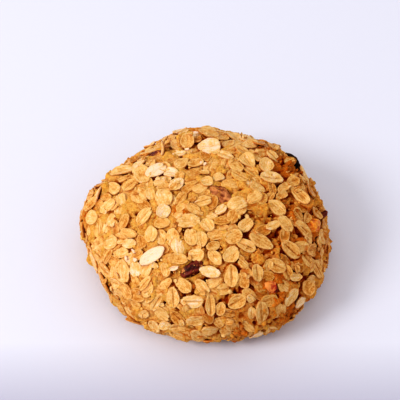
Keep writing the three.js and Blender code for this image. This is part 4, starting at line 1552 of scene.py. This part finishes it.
def join_flakes(flakes, broken):
    """Points, triangles and attributes of many flakes as one mesh."""
    one = disc_triangles(FLAKE_SPOKES, len(FLAKE_RINGS) + len(FLAKE_UNDER_RINGS))
    laid = laid_flakes()
    triangles, parts, count = [], [], 0
    for flake in flakes:
        whole = PLACED_SEED <= flake.seed < SCRAP_SEED
        brown = browned_and_shaded(unit(flake.middle - HEART))
        points, share, groove, edge = flake_points(flake, 0 if whole else broken)
        triangles.append(one + count)
        count += len(points)
        placed = flake.middle + points @ flake.axes
        part = {
            "points": placed,
            "grain": points + (0, 0, 7.3 * flake.seed % 997),
            # Darker on the right side: partly browner baking, partly painted shade.
            "tone": np.full(len(points), flake.tone - 0.06 * brown),
            # Painted highlight along the raised rim.
            "rim": np.exp(-(((share - 0.9) / 0.07) ** 2)) * (1 - edge),
            "edge": edge,
            "crease": groove,
            "coat": flake.embedded * (0.25 + 0.4 * share**2),
            # Painted shade where other flakes lie on it, stronger on the right side.
            "shade": shaded_by(laid.near(flake), flake, placed) * (0.6 + 0.4 * brown),
        }
        parts.append(part)
    joined = {name: np.concatenate([part[name] for part in parts]) for name in parts[0]}
    return joined.pop("points"), np.concatenate(triangles), joined


def flake_kinds():
    """The flakes sorted into pieces by how they were baked."""
    flakes = laid_flakes().flakes
    small = [f for f in flakes if FUSED_FLAKES <= f.seed < PLACED_SEED]
    large = [f for f in flakes if not FUSED_FLAKES <= f.seed < PLACED_SEED]
    return {
        "flakes_pale": [f for f in large if f.tone >= PALE_TONE],
        "flakes_golden": [f for f in large if TOASTED_TONE <= f.tone < PALE_TONE],
        "flakes_toasted": [f for f in large if f.tone < TOASTED_TONE],
        "flakes_small": small[::2],
        "flakes_small_too": small[1::2],
    }


class COOKIE_OT_flakes(bpy.types.Operator):
    """Lay the whole oat flakes, one piece for each kind"""

    bl_idname = "cookie.flakes"
    bl_label = "Oat flakes"

    def execute(self, context):
        material = flake_material(context.scene.cookie_colours)
        for name, flakes in flake_kinds().items():
            points, triangles, attributes = join_flakes(flakes, BROKEN_FLAKES)
            add_piece(name, above_table(points), triangles, attributes, ["cookie"], "oats", material)
        return {"FINISHED"}


def above_table(points):
    """Points with none below the surface that the cookie rests on."""
    points = points.copy()
    points[:, 2] = np.maximum(points[:, 2], TABLE_GAP)
    return points


def scattered(count, seed):
    """Random directions over the dough, even by area."""
    rng = np.random.default_rng(seed)
    angles, shares = angle_by_area()
    azimuths = rng.uniform(0, 2 * np.pi, count)
    above = rng.uniform(0, SCATTERED_LOWEST_SHARE, count)
    return directions_at(azimuths, np.interp(above, shares, angles))


def scraps(count, flakes, rng):
    """Broken scraps of flake between the flakes, with none on fruit or on a pale flake."""
    for i, direction in enumerate(scattered(count, SCRAP_SPOT_SEED)):
        length = rng.uniform(*SCRAP_LENGTH)
        turn, tilt, hinge = rng.uniform(0, 180), rng.normal(0, SCRAP_TILT_SPREAD), rng.uniform(0, 360)
        middle, axes = lying_on_dough(direction, turn, 0, tilt, hinge)
        tone = np.clip(rng.normal(0.6, 0.1), 0.1, 0.9)
        width = length * rng.uniform(*SCRAP_SLENDERNESS)
        scrap = Flake(middle, axes, length, width, SCRAP_THICKNESS, tone, FLAT_CREASE, SCRAP_SEED + i)
        on_pale = any(f.tone >= PALE_TONE and f.share(f.local(middle)) < 1.1 for f in flakes.near(scrap))
        if not over_fruit(middle) and not on_pale:
            yield settle(scrap, flakes, 0.15)


def pale_bits(flakes, rng):
    """The nearly white bits of flake."""
    for i, at in enumerate(PALE_BITS):
        middle, axes = lying_on_dough(directions_at(*np.radians(at)), 50 * i, 0)
        length, width = rng.uniform(*PALE_BIT_LENGTH), rng.uniform(*PALE_BIT_WIDTH)
        bit = Flake(middle, axes, length, width, PALE_BIT_THICKNESS, 1, FLAT_CREASE, PALE_BIT_SEED + i)
        yield settle(bit, flakes, 0.1)


def crumbs(count, flakes, rng):
    """Points, triangles and tones of crumbs between the flakes, as one mesh."""
    directions, one = geodesic(1)
    points, triangles, tones = [], [], []
    for direction in scattered(count, CRUMB_SPOT_SEED):
        length = between(CRUMB_LENGTH, rng.random() ** 1.6)
        size = length * np.array([1, rng.uniform(0.6, 1), rng.uniform(0.5, 0.9)])
        middle, axes = lying_on_dough(direction, rng.uniform(0, 180), 0)
        # Darker on the right side: partly browner baking, partly painted shade.
        tone = np.clip(rng.normal(0.64, 0.18) - 0.2 * browned_and_shaded(direction), 0.15, 1)
        base = Flake(middle, axes, size[0], size[1], thickness=0.2, tone=0, crease=0, seed=0)
        covered = any(other.share(other.local(middle)) < 0.9 for other in flakes.near(base))
        beside_standing = any(other.axes[2] @ axes[2] < STEEP for other in flakes.near(base))
        if over_fruit(middle) or beside_standing or covered:
            continue
        lumps = 1 + 0.45 * noise(directions * 2 + 3.1 * len(points), 1.0)
        base = settle(base, flakes, 0.3)
        local = directions * lumps[:, None] * size / 2
        triangles.append(one + len(directions) * len(points))
        points.append(base.middle + local @ base.axes)
        tones.append(np.full(len(directions), tone))
    return np.concatenate(points), np.concatenate(triangles), np.concatenate(tones)


class COOKIE_OT_bits(bpy.types.Operator):
    """Scatter scraps of flake and crumbs of dough between the flakes"""

    bl_idname = "cookie.bits"
    bl_label = "Scraps and crumbs"

    def execute(self, context):
        sizes, colours = context.scene.cookie_sizes, context.scene.cookie_colours
        rng = np.random.default_rng(BITS_SEED)
        flakes = laid_flakes()
        bits = [*scraps(sizes.scraps, flakes, rng), *pale_bits(flakes, rng)]
        points, triangles, attributes = join_flakes(bits, BROKEN_SCRAPS)
        material = bpy.data.materials.get("rolled_oats") or flake_material(colours)
        add_piece("oat_scraps", above_table(points), triangles, attributes, ["cookie"], "oats", material)
        points, triangles, tones = crumbs(sizes.crumbs, flakes, rng)
        attributes, material = {"tone": tones}, crumb_material(colours)
        add_piece("crumbs", above_table(points), triangles, attributes, ["cookie"], "dough", material)
        return {"FINISHED"}


# ---------------------------------------------------------------------------------------------------------
# Raisins and dried fruit.

FRUIT_DETAIL = 21


def shrivelled(fruit, skin):
    """Points of a wrinkled fruit in its own frame, its triangles, and how high each point is on a ridge."""
    directions, triangles = geodesic(FRUIT_DETAIL)
    half = np.array(fruit.size) / 2
    seed = sum(fruit.at)
    plain = directions * half
    folds = plain * (skin.fold_stretch, 1, 1)
    broad = 1 - np.abs(noise(folds, 2.6, seed)) * 2
    narrow = 1 - np.abs(noise(folds, 1.2, seed + 1)) * 2
    ridge = np.clip(0.62 * broad + 0.38 * narrow, -1, 1)
    swell = 1 + 0.07 * noise(plain, 3.5, seed + 2)
    height = skin.fold_depth * (ridge - 0.6)
    level = 0.5 + 0.5 * ridge + fruit.pale_end * directions[:, 0]
    return plain * swell[:, None] + directions * height[:, None], triangles, level


def make_fruit(skins, colours):
    """One piece for each fruit that has one of the skins."""
    materials = {name: skin_material(skin, colours) for name, skin in skins.items()}
    for fruit in FRUIT:
        if fruit.skin in skins:
            skin, material = skins[fruit.skin], materials[fruit.skin]
            points, triangles, ridge = shrivelled(fruit, skin)
            middle, axes, _ = fruit_frames()[fruit.name]
            name, placed = fruit.name + "_skin", middle + points @ axes
            add_piece(name, placed, triangles, {"ridge": ridge}, [fruit.name], skin.slot, material)


class COOKIE_OT_raisins(bpy.types.Operator):
    """Make each raisin, wrinkled and sunk in its pocket"""

    bl_idname = "cookie.raisins"
    bl_label = "Raisins"

    def execute(self, context):
        make_fruit(RAISIN_SKINS, context.scene.cookie_colours)
        return {"FINISHED"}


class COOKIE_OT_dried_fruit(bpy.types.Operator):
    """Make the red and the orange piece of dried fruit"""

    bl_idname = "cookie.dried_fruit"
    bl_label = "Dried fruit"

    def execute(self, context):
        make_fruit(DRIED_FRUIT_SKINS, context.scene.cookie_colours)
        return {"FINISHED"}


# ---------------------------------------------------------------------------------------------------------
# Floor, light and camera.

FLOOR_HALF = 1.5
FLOOR_LEVEL = -0.0001  # just clear of the flat underside
CAMERA_TARGET = Vector((HEART[0] * MM, HEART[1] * MM, 0.02))
CAMERA_ELEVATION = 52  # degrees above the horizon
CAMERA_DISTANCE = 0.55
FRAME_WIDTH = 0.1613  # what the camera sees across at the target
CAMERA_SHIFT = (-0.021, 0.0575)
KEY_LIGHT_AT = (-1.05, -0.45, 0.95)
KEY_LIGHT_SIZE = 0.6
KEY_LIGHT_POWER = 8.4
KEY_LIGHT_COLOUR = (1, 0.99, 0.92)
WORLD_COLOUR = (1, 0.98, 0.91, 1)
WORLD_STRENGTH = 0.635


def add_light(name, location, size, power, colour):
    light = bpy.data.lights.new(name, "AREA")
    light.shape = "DISK"
    light.size = size
    light.energy = power
    light.color = colour
    lamp = bpy.data.objects.new(name, light)
    lamp.location = location
    lamp.rotation_euler = (CAMERA_TARGET - lamp.location).to_track_quat("-Z", "Y").to_euler()
    bpy.context.scene.collection.objects.link(lamp)


def add_camera():
    elevation = math.radians(CAMERA_ELEVATION)
    camera = bpy.data.objects.new("camera", bpy.data.cameras.new("camera"))
    back = Vector((0, -math.cos(elevation), math.sin(elevation)))
    camera.location = CAMERA_TARGET + back * CAMERA_DISTANCE
    camera.rotation_euler = (math.pi / 2 - elevation, 0, 0)
    camera.data.lens = camera.data.sensor_width * CAMERA_DISTANCE / FRAME_WIDTH
    camera.data.shift_x, camera.data.shift_y = CAMERA_SHIFT
    camera.data.clip_start = 0.01
    bpy.context.scene.collection.objects.link(camera)
    bpy.context.scene.camera = camera


class COOKIE_OT_stage(bpy.types.Operator):
    """Add the pale floor, the soft light and the camera"""

    bl_idname = "cookie.stage"
    bl_label = "Floor, light and camera"

    def execute(self, context):
        scene = context.scene
        signs = [(-1, -1), (1, -1), (1, 1), (-1, 1)]
        corners = [(x * FLOOR_HALF, y * FLOOR_HALF, FLOOR_LEVEL) for x, y in signs]
        mesh = bpy.data.meshes.new("floor")
        mesh.from_pydata(corners, [], [(0, 1, 2, 3)])
        mesh.materials.append(floor_material(scene.cookie_colours))
        floor = bpy.data.objects.new("floor", mesh)
        scene.collection.objects.link(floor)
        add_light("key_light", KEY_LIGHT_AT, KEY_LIGHT_SIZE, KEY_LIGHT_POWER, KEY_LIGHT_COLOUR)
        world = bpy.data.worlds.new("studio")
        world.use_nodes = True
        background = world.node_tree.nodes["Background"]
        background.inputs["Color"].default_value = WORLD_COLOUR
        background.inputs["Strength"].default_value = WORLD_STRENGTH
        scene.world = world
        scene.view_settings.view_transform = "Standard"
        scene.view_settings.look = "High Contrast"
        add_camera()
        return {"FINISHED"}


# ---------------------------------------------------------------------------------------------------------
# The add-on.

OPERATORS = (
    COOKIE_OT_stage,
    COOKIE_OT_dough,
    COOKIE_OT_flakes,
    COOKIE_OT_bits,
    COOKIE_OT_raisins,
    COOKIE_OT_dried_fruit,
)


class COOKIE_PT_panel(bpy.types.Panel):
    """Sizes, colours and the operators in the order they run"""

    bl_label = "Oatmeal Raisin Cookie"
    bl_idname = "COOKIE_PT_panel"
    bl_space_type = "VIEW_3D"
    bl_region_type = "UI"
    bl_category = "Cookie"

    def draw(self, context):
        for group in (context.scene.cookie_sizes, context.scene.cookie_colours):
            box = self.layout.box()
            for name in group.__annotations__:
                box.prop(group, name)
        for operator in OPERATORS:
            self.layout.operator(operator.bl_idname)


CLASSES = (CookieSizes, CookieColours, *OPERATORS, COOKIE_PT_panel)


def register():
    for each in CLASSES:
        bpy.utils.register_class(each)
    bpy.types.Scene.cookie_sizes = PointerProperty(type=CookieSizes)
    bpy.types.Scene.cookie_colours = PointerProperty(type=CookieColours)


def unregister():
    del bpy.types.Scene.cookie_colours
    del bpy.types.Scene.cookie_sizes
    for each in reversed(CLASSES):
        bpy.utils.unregister_class(each)


def main():
    register()
    for operator in OPERATORS:
        group, name = operator.bl_idname.split(".")
        getattr(getattr(bpy.ops, group), name)()


if __name__ == "__main__":
    main()
